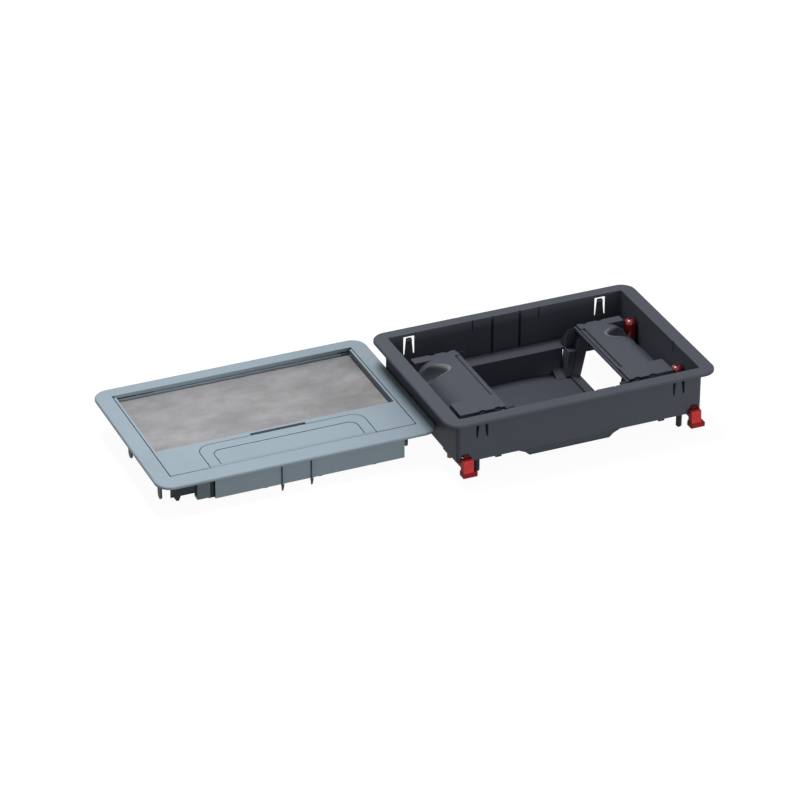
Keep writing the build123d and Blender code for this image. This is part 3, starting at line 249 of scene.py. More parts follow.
def moulded_plastic(name, colour, worn_colour, gloss_low, gloss_high, shine):
    """Moulded plastic: faint flow clouds, eroded grain, rubbed edges, painted shade in grooves and
    corners.
    """
    edge_radius, grain_deep, grain_strength = 0.0007, 0.00003, 0.35
    flow_low, flow_high = 0.93, 1.07
    flow_scale, rub_scale, sheen_scale, grain_scale = 22.0, 160.0, 70.0, 3200.0
    made, tree, output = bare_finish(name)
    shell = tree.nodes.new("ShaderNodeBsdfPrincipled")
    shell.inputs["Specular IOR Level"].default_value = shine
    tree.links.new(shell.outputs[0], output.inputs["Surface"])
    round_off, edge = soft_edges(tree, edge_radius)
    flow = clouds(tree, flow_scale, 3.0)
    tone = tree.nodes.new("ShaderNodeMix")
    tone.data_type = "RGBA"
    tone.inputs[6].default_value = (*[c * flow_low for c in colour], 1)
    tone.inputs[7].default_value = (*[c * flow_high for c in colour], 1)
    tree.links.new(flow.outputs["Fac"], tone.inputs[0])
    rub = tree.nodes.new("ShaderNodeMix")
    rub.data_type = "RGBA"
    rub.inputs[7].default_value = (*worn_colour, 1)
    rub_break = clouds(tree, rub_scale, 2.0)
    rub_amount = tree.nodes.new("ShaderNodeMath")
    rub_amount.operation = "MULTIPLY"
    tree.links.new(edge.outputs[0], rub_amount.inputs[0])
    tree.links.new(rub_break.outputs["Fac"], rub_amount.inputs[1])
    tree.links.new(rub_amount.outputs[0], rub.inputs[0])
    tree.links.new(tone.outputs[2], rub.inputs[6])
    tree.links.new(painted_crevice_shade(tree, rub.outputs[2], colour), shell.inputs["Base Color"])
    sheen_cloud = clouds(tree, sheen_scale, 4.0)
    gloss = tree.nodes.new("ShaderNodeMapRange")
    gloss.inputs["To Min"].default_value = gloss_low
    gloss.inputs["To Max"].default_value = gloss_high
    tree.links.new(sheen_cloud.outputs["Fac"], gloss.inputs["Value"])
    tree.links.new(gloss.outputs[0], shell.inputs["Roughness"])
    eroded = clouds(tree, grain_scale, 2.0, 0.6)
    relief = tree.nodes.new("ShaderNodeBump")
    relief.inputs["Strength"].default_value = grain_strength
    relief.inputs["Distance"].default_value = grain_deep
    tree.links.new(eroded.outputs["Fac"], relief.inputs["Height"])
    tree.links.new(round_off.outputs[0], relief.inputs["Normal"])
    tree.links.new(relief.outputs[0], shell.inputs["Normal"])
    return made


def anthracite_moulding(name):
    """The box's satin anthracite plastic."""
    return moulded_plastic(
        name, anthracite, anthracite_rubbed, gloss_low=0.44, gloss_high=0.54, shine=0.10)


def dress(node, finish):
    """Give a piece that comes from the frame its finish."""
    nodes[node].data.materials.clear()
    nodes[node].data.materials.append(finish)


def maths(tree, operation, first, second=0.0):
    """One sum of two values, either of which may be a number or a socket."""
    sum_node = tree.nodes.new("ShaderNodeMath")
    sum_node.operation = operation
    for place, value in enumerate((first, second)):
        if isinstance(value, (int, float)):
            sum_node.inputs[place].default_value = value
        else:
            tree.links.new(value, sum_node.inputs[place])
    return sum_node.outputs[0]


def own_place(tree):
    """The three coordinates of the surface in the object's own metres."""
    place = tree.nodes.new("ShaderNodeTexCoord")
    apart = tree.nodes.new("ShaderNodeSeparateXYZ")
    tree.links.new(place.outputs["Object"], apart.inputs[0])
    return apart.outputs


def paint_light_or_shade(made, mask, dark, strength=1.0):
    """Painted shade or light: another colour, mostly a darker one, where the mask is one."""
    tree = made.node_tree
    shell = tree.nodes["Principled BSDF"]
    unpainted = shell.inputs["Base Color"].links[0].from_socket
    shade = tree.nodes.new("ShaderNodeMix")
    shade.data_type = "RGBA"
    shade.inputs[7].default_value = (*dark, 1)
    tree.links.new(maths(tree, "MULTIPLY", mask, strength), shade.inputs[0])
    tree.links.new(unpainted, shade.inputs[6])
    tree.links.new(shade.outputs[2], shell.inputs["Base Color"])


body_finish = anthracite_moulding("anthracite_body")
body_tree = body_finish.node_tree
body_place = own_place(body_tree)
rear_face = maths(body_tree, "GREATER_THAN", body_place["Y"], rear_wall_inside)
below_flange = maths(body_tree, "LESS_THAN", body_place["Z"], flange_underside)
# Painted shade in the two grooves of the rear wall, and near-black painted shade on the pegs below the
# ledge.
for groove_x in groove_places:
    beside = maths(body_tree, "ABSOLUTE", maths(body_tree, "SUBTRACT", body_place["X"], groove_x))
    in_groove = maths(body_tree, "LESS_THAN", beside, groove_half)
    on_rear_wall = maths(body_tree, "MULTIPLY", in_groove, rear_face)
    seen_groove = maths(body_tree, "MULTIPLY", on_rear_wall, below_flange)
    paint_light_or_shade(body_finish, seen_groove, shade_black, groove_shade)
on_peg = maths(body_tree, "LESS_THAN", body_place["Z"], peg_root)
paint_light_or_shade(body_finish, on_peg, shade_black, peg_shade)
dress("box_body", body_finish)

# Tray and socket frames
# The same anthracite moulding as the body. The tray hangs in the middle of the box with its rim on the
# body's ledge, and a leaning frame for a row of sockets stands at each end of it.
tray_finish = anthracite_moulding("anthracite_plastic")
for node in ("plug_tray", "socket_frame_left", "socket_frame_right"):
    dress(node, tray_finish)

# Wiring covers
# Loose anthracite plates that lie over the wires behind each row of sockets. Each has a raised end
# front and rear, a middle that rolls off to its outer edge, and a finger bowl. They stand on four thin
# legs.
cover_low, cover_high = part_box("wiring_cover_right")
cover_inner, cover_outer = cover_low[0], cover_high[0]
cover_front, cover_rear = cover_low[1], cover_high[1]
cover_top, cover_foot = cover_high[2], cover_low[2]
front_step = cover_front + 0.024
rear_step = cover_rear - 0.010
cover_plate, cover_wall, cover_skirt = 0.002, 0.0016, 0.009
roll_width, roll_radius = 0.020, 0.0213
bowl_past_edge, bowl_y = 0.002, cover_rear - 0.029
bowl_half_x, bowl_half_y, bowl_deep, bowl_lift = 0.0328, 0.0141, 0.030, 0.014
rim_blend, ridge, ridge_spread, bowl_rim = 0.0016, 0.0011, 0.17, 0.218
rail_width, rail_step, rail_drop, rail_deep = 0.0042, 0.62, 0.0008, 0.0018
notch_half, notch_deep, notch_inner, notch_outer = 0.0025, 0.0016, 0.008, 0.022
leg_half, leg_inner, leg_outer = 0.0025, 0.016, 0.006
rail_end = cover_inner + 0.0129


def add_prism(mould, outline, low_z, high_z):
    """Straight-sided block under an outline in the level plane."""
    low_ring = [mould.verts.new((x, y, low_z)) for x, y in outline]
    high_ring = [mould.verts.new((x, y, high_z)) for x, y in outline]
    mould.faces.new(low_ring[::-1])
    mould.faces.new(high_ring)
    for i in range(len(outline)):
        j = (i + 1) % len(outline)
        mould.faces.new((low_ring[i], low_ring[j], high_ring[j], high_ring[i]))


def add_block(mould, x0, x1, y0, y1, z0, z1):
    """Plain block between its corners."""
    add_prism(mould, [(x0, y0), (x1, y0), (x1, y1), (x0, y1)], z0, z1)


def finished_piece(name, mould, finish, body, mirror_x=False, mirror_y=False, smooth=30):
    """Turn a bmesh into a piece of the object, with its finish and body."""
    if mirror_x or mirror_y:
        bmesh.ops.scale(mould, vec=(-1 if mirror_x else 1, -1 if mirror_y else 1, 1), verts=mould.verts)
    bmesh.ops.recalc_face_normals(mould, faces=mould.faces)
    mesh = bpy.data.meshes.new(name)
    mould.to_mesh(mesh)
    mould.free()
    mesh.materials.append(finish)
    mesh.shade_smooth()
    mesh.set_sharp_from_angle(angle=math.radians(smooth))
    piece = bpy.data.objects.new(name, mesh)
    bpy.context.scene.collection.objects.link(piece)
    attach(piece, body)
    return piece


def middle_height(x, y):
    """Height of the cover's middle: level, then rolling off, with the finger bowl pressed in."""
    past = max(0.0, x - (cover_outer - roll_width))
    level = cover_top - roll_radius + math.sqrt(roll_radius ** 2 - past ** 2)
    from_edge = x - cover_inner
    if from_edge < rail_width:
        return level - (rail_deep if from_edge > rail_width * rail_step else rail_drop)
    across = (x - cover_outer - bowl_past_edge) / bowl_half_x
    along = (y - bowl_y) / bowl_half_y
    inside = 1.0 - across ** 2 - along ** 2
    level += ridge * math.exp(-((inside - bowl_rim) / ridge_spread) ** 2)
    if inside <= 0:
        return level
    bowl = cover_top + bowl_lift - bowl_deep * math.sqrt(inside)
    meet = max(0.0, rim_blend - abs(level - bowl)) / rim_blend
    return min(level, bowl) - meet * meet * rim_blend / 4


def add_middle(mould):
    """The cover's thin middle as one closed shell."""
    steps_x, steps_y = 58, 104
    top_rows, under_rows = [], []
    for i in range(steps_x + 1):
        x = cover_inner + (cover_outer - cover_inner) * i / steps_x
        top_row, under_row = [], []
        for j in range(steps_y + 1):
            y = front_step + (rear_step - front_step) * j / steps_y
            z = middle_height(x, y)
            top_row.append(mould.verts.new((x, y, z)))
            under_row.append(mould.verts.new((x, y, z - cover_plate)))
        top_rows.append(top_row)
        under_rows.append(under_row)
    for i in range(steps_x):
        for j in range(steps_y):
            for rows in (top_rows, under_rows):
                mould.faces.new((rows[i][j], rows[i + 1][j], rows[i + 1][j + 1], rows[i][j + 1]))
    rim = [(i, 0) for i in range(steps_x)] + [(steps_x, j) for j in range(steps_y)]
    rim += [(i, steps_y) for i in range(steps_x, 0, -1)] + [(0, j) for j in range(steps_y, 0, -1)]
    for here, after in zip(rim, rim[1:] + rim[:1]):
        mould.faces.new((
            top_rows[here[0]][here[1]], top_rows[after[0]][after[1]],
            under_rows[after[0]][after[1]], under_rows[here[0]][here[1]]))


def add_end(mould, open_y, step_y):
    """Raised end of a cover: its plate with two small notches, and the walls and legs under it."""
    inward = 1 if step_y > open_y else -1
    notch_y = open_y + notch_deep * inward
    outline = [(cover_inner, step_y), (cover_inner, open_y)]
    for notch_x in (cover_inner + notch_inner, cover_outer - notch_outer):
        outline += [
            (notch_x - notch_half, open_y), (notch_x - notch_half, notch_y),
            (notch_x + notch_half, notch_y), (notch_x + notch_half, open_y)]
    outline += [(cover_outer, open_y), (cover_outer, step_y)]
    if inward < 0:
        outline.reverse()
    add_prism(mould, outline, cover_top - cover_plate, cover_top)
    wall_top = cover_top - cover_plate
    wall_low = cover_top - cover_skirt
    y0, y1 = sorted((open_y, step_y))
    add_block(mould, cover_outer - cover_wall, cover_outer, y0, y1, wall_low, wall_top)
    for near in (open_y, step_y - inward * cover_wall):
        y0, y1 = sorted((near, near + inward * cover_wall))
        add_block(mould, rail_end, cover_outer - cover_wall, y0, y1, wall_low, wall_top)
    for leg_x in (cover_inner + leg_inner, cover_outer - leg_outer):
        y0, y1 = sorted((open_y, open_y + inward * cover_wall))
        add_block(mould, leg_x - leg_half, leg_x + leg_half, y0, y1, cover_foot, wall_low)


plate_finish = anthracite_moulding("anthracite_cover")
plate_tree = plate_finish.node_tree
plate_place = own_place(plate_tree)
from_middle = maths(plate_tree, "ABSOLUTE", plate_place["X"])
across = maths(plate_tree, "SUBTRACT", from_middle, cover_outer + bowl_past_edge)
across = maths(plate_tree, "DIVIDE", across, bowl_half_x)
along = maths(plate_tree, "SUBTRACT", plate_place["Y"], bowl_y)
along = maths(plate_tree, "DIVIDE", along, bowl_half_y)
across_squared = maths(plate_tree, "MULTIPLY", across, across)
along_squared = maths(plate_tree, "MULTIPLY", along, along)
spread = maths(plate_tree, "ADD", across_squared, along_squared)
rim_spread, bowl_inset = 1.0 - bowl_rim, 0.07
rim_fade, shine_from, shine_fade = 0.15, -0.35, 0.35
off_rim = maths(plate_tree, "ABSOLUTE", maths(plate_tree, "SUBTRACT", rim_spread, spread))
rim = maths(plate_tree, "SUBTRACT", 1.0, maths(plate_tree, "DIVIDE", off_rim, rim_fade))
rim = maths(plate_tree, "MAXIMUM", rim, 0.0)
inner_end = maths(plate_tree, "DIVIDE", maths(plate_tree, "SUBTRACT", shine_from, across), shine_fade)
inner_end = maths(plate_tree, "MINIMUM", maths(plate_tree, "MAXIMUM", inner_end, 0.0), 1.0)
in_bowl = maths(plate_tree, "LESS_THAN", spread, rim_spread - bowl_inset)
painted_rim_highlight, rim_highlight_strength = (0.34, 0.35, 0.37), 0.75
painted_bowl_shade, bowl_shade = (0.020, 0.022, 0.028), 0.5
# Painted highlight on the finger bowl's rim at its inner end.
paint_light_or_shade(plate_finish, maths(plate_tree, "MULTIPLY", rim, inner_end), painted_rim_highlight, rim_highlight_strength)
# Painted shade inside the finger bowl.
paint_light_or_shade(plate_finish, in_bowl, painted_bowl_shade, bowl_shade)

for side in ("right", "left"):
    mould = bmesh.new()
    add_middle(mould)
    add_end(mould, cover_front, front_step)
    add_end(mould, cover_rear, rear_step)
    node = "wiring_cover_" + side
    plate = finished_piece(
        "finger_bowl_cover_" + side, mould, plate_finish, node, mirror_x=side == "left")
    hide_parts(node)

# Clamp screws
# Red polyamide screws with a round head, a cross recess and a skirt that turns round the sleeve in the
# box. The thread below carries the jaw.
# The screws' red, far darker than the jaws' red, is painted shade for the dim inside of the box.
shaded_screw_red = moulded_plastic(
    "shaded_screw_red", (0.20, 0.004, 0.008), (0.28, 0.02, 0.03), gloss_low=0.20, gloss_high=0.30, shine=0.7)
corner_names = {
    (-1, -1): "front_left", (1, -1): "front_right", (-1, 1): "rear_left", (1, 1): "rear_right"}
screw_low, screw_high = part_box("clamp_screw_front_right")
screw_top, screw_end = screw_high[2], screw_low[2]
head_radius, dome_height = 0.0061, 0.0052
skirt_length, skirt_edge, skirt_bore = 0.0190, 0.0192, 0.0004
sleeve_top, post_radius, post_foot = 0.0074, 0.0039, -0.0360
thread_radius, thread_top, thread_chamfer = 0.0030, -0.0364, 0.0006
recess_arm, recess_thin, recess_deep, recess_over = 0.0026, 0.0006, 0.0024, 0.001


def turned(mould, profile, steps=40):
    """Closed turned solid from a profile of radius and height that starts and ends on the axis."""
    rings = []
    for radius, height in profile:
        if radius == 0:
            rings.append([mould.verts.new((0, 0, height))])
            continue
        ring = []
        for k in range(steps):
            angle = 2 * math.pi * k / steps
            ring.append(mould.verts.new((radius * math.cos(angle), radius * math.sin(angle), height)))
        rings.append(ring)
    for upper, lower in zip(rings, rings[1:]):
        for k in range(steps):
            after = (k + 1) % steps
            if len(upper) == 1:
                mould.faces.new((upper[0], lower[k], lower[after]))
            elif len(lower) == 1:
                mould.faces.new((upper[k], lower[0], upper[after]))
            else:
                mould.faces.new((upper[k], lower[k], lower[after], upper[after]))


def cut_out(piece, tool):
    """Subtract a tool from a piece for good."""
    cutter = piece.modifiers.new("cut", "BOOLEAN")
    cutter.operation = "DIFFERENCE"
    cutter.solver = "EXACT"
    cutter.object = tool
    bpy.context.view_layer.update()
    finished = piece.evaluated_get(bpy.context.evaluated_depsgraph_get())
    cut_mesh = bpy.data.meshes.new_from_object(finished)
    piece.modifiers.remove(cutter)
    piece.data = cut_mesh
    bpy.data.objects.remove(tool)


def screw_profile():
    """Round head, skirt outside the sleeve, post inside it, and the thread's core."""
    dome = []
    dome_steps = 8
    for k in range(dome_steps + 1):
        angle = math.radians(90 * k / dome_steps)
        dome.append((head_radius * math.sin(angle), screw_top - dome_height * (1 - math.cos(angle))))
    return dome + [
        (head_radius, screw_top - skirt_length), (head_radius - skirt_bore, screw_top - skirt_edge),
        (head_radius - skirt_bore, screw_top - sleeve_top), (post_radius, screw_top - sleeve_top),
        (post_radius, post_foot), (thread_radius, thread_top),
        (thread_radius, screw_end + thread_chamfer), (thread_radius - thread_chamfer, screw_end),
        (0, screw_end)]


def recess_tool(axis):
    """Plus-shaped tool that sinks the cross recess into a screw's head."""
    arm, thin = recess_arm, recess_thin
    plus = [
        (thin, -arm), (thin, -thin), (arm, -thin), (arm, thin), (thin, thin), (thin, arm),
        (-thin, arm), (-thin, thin), (-arm, thin), (-arm, -thin), (-thin, -thin), (-thin, -arm)]
    outline = [(axis.x + x, axis.y + y) for x, y in plus]
    recess = bmesh.new()
    add_prism(recess, outline, screw_top - recess_deep, screw_top + recess_over)
    recess_mesh = bpy.data.meshes.new("recess")
    recess.to_mesh(recess_mesh)
    recess.free()
    tool = bpy.data.objects.new("recess", recess_mesh)
    bpy.context.scene.collection.objects.link(tool)
    return tool


for corner in corner_names.values():
    node = "clamp_screw_" + corner
    low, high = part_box(node)
    axis = Vector(((low[0] + high[0]) / 2, (low[1] + high[1]) / 2, 0))
    mould = bmesh.new()
    turned(mould, screw_profile())
    bmesh.ops.translate(mould, vec=axis, verts=mould.verts)
    screw = finished_piece("round_head_screw_" + corner, mould, shaded_screw_red, node)
    cut_out(screw, recess_tool(axis))
    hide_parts(node)

# Clamp jaws
# Red polyamide jaws that climb the screws' threads outside the long walls. A nut and an arm carry a
# sloping face, and the wide lip at its foot grips the floor panel from below.
clamp_red = moulded_plastic(
    "clamp_red", (0.60, 0.048, 0.050), (0.64, 0.08, 0.08), gloss_low=0.40, gloss_high=0.50, shine=0.06)
heel_painted_shade, lip_painted_shade, lip_shade = (0.09, 0.004, 0.008), (0.22, 0.006, 0.012), 0.75
jaw_low, jaw_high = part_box("clamp_jaw_front_right")
rear_screw_low, rear_screw_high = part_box("clamp_screw_rear_right")
screw_middle = (screw_low[0] + screw_high[0]) / 2
screw_y = (rear_screw_low[1] + rear_screw_high[1]) / 2
arm_middle = (jaw_low[0] + jaw_high[0]) / 2
jaw_middle = screw_middle + 0.0004
jaw_foot, jaw_reach = jaw_low[2], -jaw_low[1]
wall_outside = 0.0862
clear = wall_outside + 0.0003
nut_half, arm_half, face_half = 0.0052, 0.0030, 0.0052
arm_low, arm_high = jaw_foot + 0.0060, jaw_foot + 0.0098
face_low, face_flare, face_shoulder = jaw_foot + 0.0020, jaw_foot + 0.0074, jaw_foot + 0.0160
face_back_low, face_back_top, face_front_top = jaw_foot + 0.0062, jaw_foot + 0.0176, jaw_foot + 0.0172
heel_low, heel_top, heel_shade_from = jaw_foot + 0.0170, jaw_foot + 0.0210, jaw_foot + 0.0174
lip_short, lip_long = 0.0056, 0.0086
lip_back_top, lip_top = jaw_foot + 0.0046, jaw_foot + 0.0052
front_top_y, shoulder_y, flare_y = jaw_reach - 0.0026, jaw_reach - 0.0020, jaw_reach - 0.0016
foot_y, root_y, face_back_y = jaw_reach - 0.0002, jaw_reach - 0.0010, clear - 0.0006
heel_top_y, heel_low_y = clear + 0.0008, clear + 0.0014
lip_back_y, lip_rise_y, lip_low_y = clear - 0.0012, jaw_reach - 0.0004, jaw_reach - 0.0006
rounding_width = 0.0004
jaw_tree = clamp_red.node_tree
jaw_height = own_place(jaw_tree)["Z"]
# Painted shade on the jaw's heel at its top and on the lip at its foot.
paint_light_or_shade(clamp_red, maths(jaw_tree, "GREATER_THAN", jaw_height, heel_shade_from), heel_painted_shade)
paint_light_or_shade(clamp_red, maths(jaw_tree, "LESS_THAN", jaw_height, lip_top), lip_painted_shade, lip_shade)


def add_slab_across(mould, outline, x0, x1):
    """Block of one thickness whose outline stands in the plane across the long wall."""
    near_ring = [mould.verts.new((x0, y, z)) for y, z in outline]
    far_ring = [mould.verts.new((x1, y, z)) for y, z in outline]
    mould.faces.new(near_ring)
    mould.faces.new(far_ring[::-1])
    for i in range(len(outline)):
        j = (i + 1) % len(outline)
        mould.faces.new((near_ring[i], far_ring[i], far_ring[j], near_ring[j]))


def jaw_mould(side_x, side_y):
    """One jaw, drawn outward along +Y at the right and mirrored to its corner."""
    mould = bmesh.new()
    nut_outer = screw_y + nut_half
    add_block(
        mould, screw_middle - nut_half, screw_middle + nut_half, screw_y - nut_half, nut_outer,
        arm_low, arm_high)
    add_block(
        mould, arm_middle - arm_half, arm_middle + arm_half, nut_outer - 0.0002, wall_outside + 0.002,
        arm_low, arm_high)
    face = [
        (clear, face_back_top), (front_top_y, face_front_top), (shoulder_y, face_shoulder),
        (flare_y, face_flare), (foot_y, lip_back_top), (root_y, face_low),
        (face_back_y, face_low), (face_back_y, face_back_low), (clear, face_back_low)]
    add_slab_across(mould, face, jaw_middle - face_half, jaw_middle + face_half)
    heel = [(clear, heel_low), (clear, heel_top), (heel_top_y, heel_top - 0.0002), (heel_low_y, heel_low)]
    add_slab_across(mould, heel, jaw_middle - arm_half, jaw_middle + arm_half)
    lip = [
        (lip_back_y, lip_back_top), (lip_rise_y, lip_back_top), (jaw_reach, lip_top),
        (lip_low_y, jaw_foot), (lip_back_y, jaw_foot)]
    lip_past, lip_before = (lip_long, lip_short) if side_x * side_y < 0 else (lip_short, lip_long)
    add_slab_across(mould, lip, jaw_middle - lip_before, jaw_middle + lip_past)
    return mould


for (side_x, side_y), corner in corner_names.items():
    node = "clamp_jaw_" + corner
    jaw = finished_piece(
        "lipped_jaw_" + corner, jaw_mould(side_x, side_y), clamp_red, node,
        mirror_x=side_x < 0, mirror_y=side_y < 0, smooth=8)
    rounding = jaw.modifiers.new("rounding", "BEVEL")
    rounding.width = rounding_width
    rounding.segments = 2
    rounding.limit_method = "ANGLE"
    rounding.angle_limit = math.radians(35)
    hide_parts(node)

# Cover frame
# Blue-grey moulded frame that drops into the box. Under its broad flange hang a skirt with fins, a tab at
# the right end and the latch at the left end. These ends and small tabs below the skirt carry near-black
# painted shade, the latch's pillar a lighter one. A thin black web, its black painted shade, joins the
# pillar to the skirt.
blue_grey, blue_grey_rubbed = (0.238, 0.297, 0.341), (0.275, 0.334, 0.375)
cover_painted_shade = (0.020, 0.025, 0.030)
cover_place = Vector((-0.2640, 0.0486, -0.0265))
lid_front, lid_rear, lid_half, lid_corner = -0.0289, 0.1300, 0.1212, 0.002
seam_half, seam_shade_strength = 0.00042, 0.6
latch_side, pillar_side, pillar_shade, tab_side = -0.3618, -0.3440, 0.55, -0.1563
dark_from, skirt_foot = -0.0300, -0.0570


def blue_grey_moulding(name):
    """The cover set's satin blue-grey plastic."""
    return moulded_plastic(
        name, blue_grey, blue_grey_rubbed, gloss_low=0.42, gloss_high=0.52, shine=0.18)


def seam_line(tree, front_y, rear_y, half_x, corner):
    """One within a hair of a round-cornered outline on the cover set, nought elsewhere."""
    place = own_place(tree)
    middle_y, half_y = (front_y + rear_y) / 2, (rear_y - front_y) / 2
    beside = maths(tree, "ABSOLUTE", maths(tree, "SUBTRACT", place["X"], cover_place.x))
    past_x = maths(tree, "SUBTRACT", beside, half_x - corner)
    before = maths(tree, "ABSOLUTE", maths(tree, "SUBTRACT", place["Y"], middle_y))
    past_y = maths(tree, "SUBTRACT", before, half_y - corner)
    out_x = maths(tree, "POWER", maths(tree, "MAXIMUM", past_x, 0.0), 2.0)
    out_y = maths(tree, "POWER", maths(tree, "MAXIMUM", past_y, 0.0), 2.0)
    outer = maths(tree, "SQRT", maths(tree, "ADD", out_x, out_y))
    inner = maths(tree, "MINIMUM", maths(tree, "MAXIMUM", past_x, past_y), 0.0)
    from_line = maths(tree, "SUBTRACT", maths(tree, "ADD", outer, inner), corner)
    return maths(tree, "LESS_THAN", maths(tree, "ABSOLUTE", from_line), seam_half)


def draw_lid_seam(finish):
    """Painted shade along the gap round the lid."""
    line = seam_line(finish.node_tree, lid_front, lid_rear, lid_half, lid_corner)
    paint_light_or_shade(finish, line, cover_painted_shade, seam_shade_strength)


frame_finish = blue_grey_moulding("blue_grey_frame")
draw_lid_seam(frame_finish)
frame_tree = frame_finish.node_tree
frame_place = own_place(frame_tree)
# Painted shade under the flange: near-black at the latch end, the right-end tab and below the skirt,
# lighter on the latch's pillar.
under_flange = maths(frame_tree, "LESS_THAN", frame_place["Z"], dark_from)
latch_end = maths(frame_tree, "LESS_THAN", frame_place["X"], latch_side)
latch_pillar = maths(frame_tree, "LESS_THAN", frame_place["X"], pillar_side)
latch_pillar = maths(frame_tree, "MULTIPLY", latch_pillar, pillar_shade)
latch_end = maths(frame_tree, "MAXIMUM", latch_end, latch_pillar)
right_tab = maths(frame_tree, "GREATER_THAN", frame_place["X"], tab_side)
below_skirt = maths(frame_tree, "LESS_THAN", frame_place["Z"], skirt_foot)
painted_shade_part = maths(frame_tree, "MAXIMUM", latch_end, right_tab)
painted_shade_part = maths(frame_tree, "MAXIMUM", painted_shade_part, below_skirt)
paint_light_or_shade(frame_finish, maths(frame_tree, "MULTIPLY", painted_shade_part, under_flange), cover_painted_shade)
dress("cover_frame", frame_finish)

# A black sheet in the gap between the latch's pillar and the skirt, standing for the shade in that gap.
shaded_gap_black = moulded_plastic(
    "shaded_gap_black", (0.012, 0.014, 0.017), (0.03, 0.033, 0.038),
    gloss_low=0.42, gloss_high=0.52, shine=0.2)
web_left, web_right = cover_place.x - 0.0862, cover_place.x - 0.0796
skirt_front = cover_place.y - 0.0826
web_front, web_rear = skirt_front + 0.0022, skirt_front + 0.0038
web_low, web_top = cover_place.z - 0.0300, cover_place.z - 0.0030
web = bmesh.new()
add_block(web, web_left, web_right, web_front, web_rear, web_low, web_top)
finished_piece("shaded_gap_web", web, shaded_gap_black, "cover_frame")

# Lid
# Blue-grey moulded lid that turns on two pins at the frame's rear. Its low field takes a piece of the
# room's floor covering, and its front is cut out for the handle flap.
flap_front, flap_rear, flap_half, flap_corner = lid_front - 0.04, 0.0109, 0.0820, 0.013
field_end, field_edge, field_shade = -0.1530, -0.0268, 0.6


def draw_flap_seam(finish):
    """Painted shade along the gap round the handle flap, which runs out at the lid's front edge."""
    line = seam_line(finish.node_tree, flap_front, flap_rear, flap_half, flap_corner)
    paint_light_or_shade(finish, line, cover_painted_shade, seam_shade_strength)


lid_finish = blue_grey_moulding("blue_grey_lid")
draw_lid_seam(lid_finish)
draw_flap_seam(lid_finish)
lid_tree = lid_finish.node_tree
lid_place = own_place(lid_tree)
# Painted shade on the wall at the right end of the lid's low field, below its edge.
at_field_end = maths(lid_tree, "GREATER_THAN", lid_place["X"], field_end)
below_field_edge = maths(lid_tree, "LESS_THAN", lid_place["Z"], field_edge)
field_wall = maths(lid_tree, "MULTIPLY", at_field_end, below_field_edge)
paint_light_or_shade(lid_finish, field_wall, cover_painted_shade, field_shade)
dress("lid", lid_finish)

# Handle flap
# Blue-grey moulded strip with a finger slot, let into the lid's front and hinged at its front edge. The
# lid is lifted by it, and the plug cords leave under it when it stands open.
flap_finish = blue_grey_moulding("blue_grey_flap")
draw_lid_seam(flap_finish)
draw_flap_seam(flap_finish)
dress("handle_flap", flap_finish)

# Reinforcement plate
# Loose galvanised sheet that lies in the lid's low field and stiffens it under the floor covering. Dull
# grey, with soft clouds from the zinc bath.


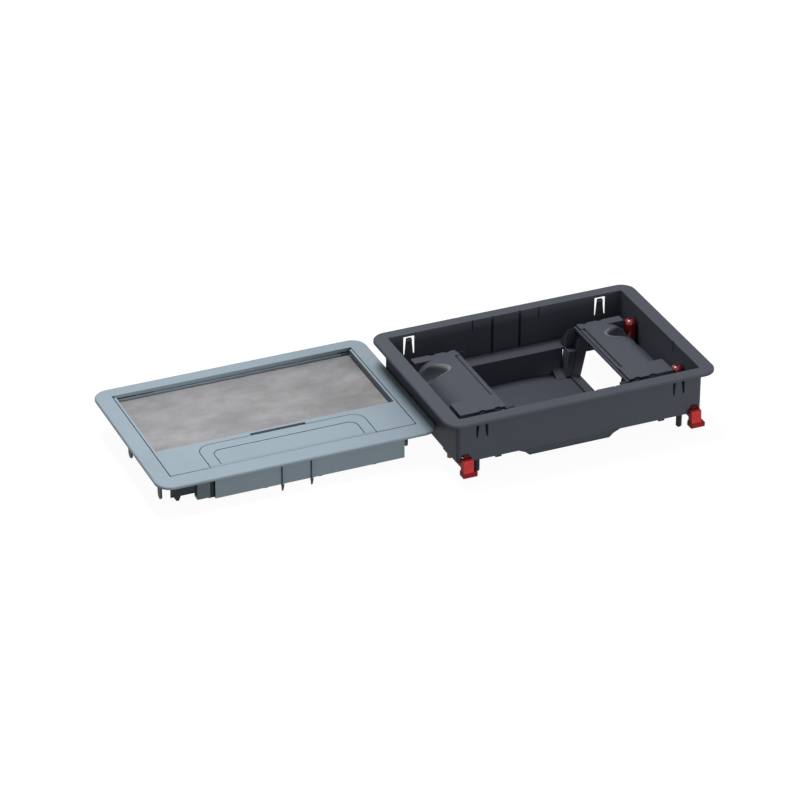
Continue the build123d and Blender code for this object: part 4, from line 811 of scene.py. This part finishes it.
def galvanised():
    """Dull zinc: clouds drawn out along the sheet, pale flecks and a faint roll grain."""
    zinc_dark, zinc_pale = (0.160, 0.149, 0.171, 1), (0.250, 0.244, 0.268, 1)
    metal_share, fleck_share, colour_left, grain_deep = 0.25, 0.35, 0.30, 0.00006
    made, tree, output = bare_finish("zinc_sheet")
    shell = tree.nodes.new("ShaderNodeBsdfPrincipled")
    shell.inputs["Metallic"].default_value = metal_share
    tree.links.new(shell.outputs[0], output.inputs["Surface"])
    broad = clouds(tree, 26.0, 5.0, 0.62, (0.75, 1.2, 1))
    ramp = tree.nodes.new("ShaderNodeValToRGB")
    ramp.color_ramp.elements[0].position = 0.34
    ramp.color_ramp.elements[0].color = zinc_dark
    ramp.color_ramp.elements[1].position = 0.68
    ramp.color_ramp.elements[1].color = zinc_pale
    tree.links.new(broad.outputs["Fac"], ramp.inputs[0])
    fine = clouds(tree, 140.0, 6.0, 0.7, (0.6, 1.0, 1))
    fleck = tree.nodes.new("ShaderNodeMix")
    fleck.data_type = "RGBA"
    fleck.blend_type = "OVERLAY"
    fleck.inputs[0].default_value = fleck_share
    tree.links.new(ramp.outputs[0], fleck.inputs[6])
    tree.links.new(fine.outputs["Color"], fleck.inputs[7])
    grey = tree.nodes.new("ShaderNodeHueSaturation")
    grey.inputs["Saturation"].default_value = colour_left
    tree.links.new(fleck.outputs[2], grey.inputs["Color"])
    tree.links.new(grey.outputs[0], shell.inputs["Base Color"])
    gloss = tree.nodes.new("ShaderNodeMapRange")
    gloss.inputs["To Min"].default_value = 0.45
    gloss.inputs["To Max"].default_value = 0.65
    tree.links.new(fine.outputs["Fac"], gloss.inputs["Value"])
    tree.links.new(gloss.outputs[0], shell.inputs["Roughness"])
    relief = tree.nodes.new("ShaderNodeBump")
    relief.inputs["Strength"].default_value = 0.3
    relief.inputs["Distance"].default_value = grain_deep
    tree.links.new(fine.outputs["Fac"], relief.inputs["Height"])
    tree.links.new(relief.outputs[0], shell.inputs["Normal"])
    return made


dress("lid_reinforcement_plate", galvanised())

# Hinge pins
# Bright drawn steel. The lid turns on two short ones at its rear corners, and the handle flap on two
# thin ones at its front edge.


def drawn_steel():
    """Bright steel with fine lines round the pin."""
    bright_steel = (0.62, 0.63, 0.65, 1)
    made, tree, output = bare_finish("drawn_steel")
    shell = tree.nodes.new("ShaderNodeBsdfPrincipled")
    shell.inputs["Metallic"].default_value = 1.0
    shell.inputs["Base Color"].default_value = bright_steel
    tree.links.new(shell.outputs[0], output.inputs["Surface"])
    lines = clouds(tree, 900.0, 2.0, 0.5, (4, 1, 1))
    gloss = tree.nodes.new("ShaderNodeMapRange")
    gloss.inputs["To Min"].default_value = 0.22
    gloss.inputs["To Max"].default_value = 0.4
    tree.links.new(lines.outputs["Fac"], gloss.inputs["Value"])
    tree.links.new(gloss.outputs[0], shell.inputs["Roughness"])
    return made


pin_steel = drawn_steel()
for pin in ("lid_hinge_pin_left", "lid_hinge_pin_right", "flap_hinge_pin_left", "flap_hinge_pin_right"):
    dress(pin, pin_steel)
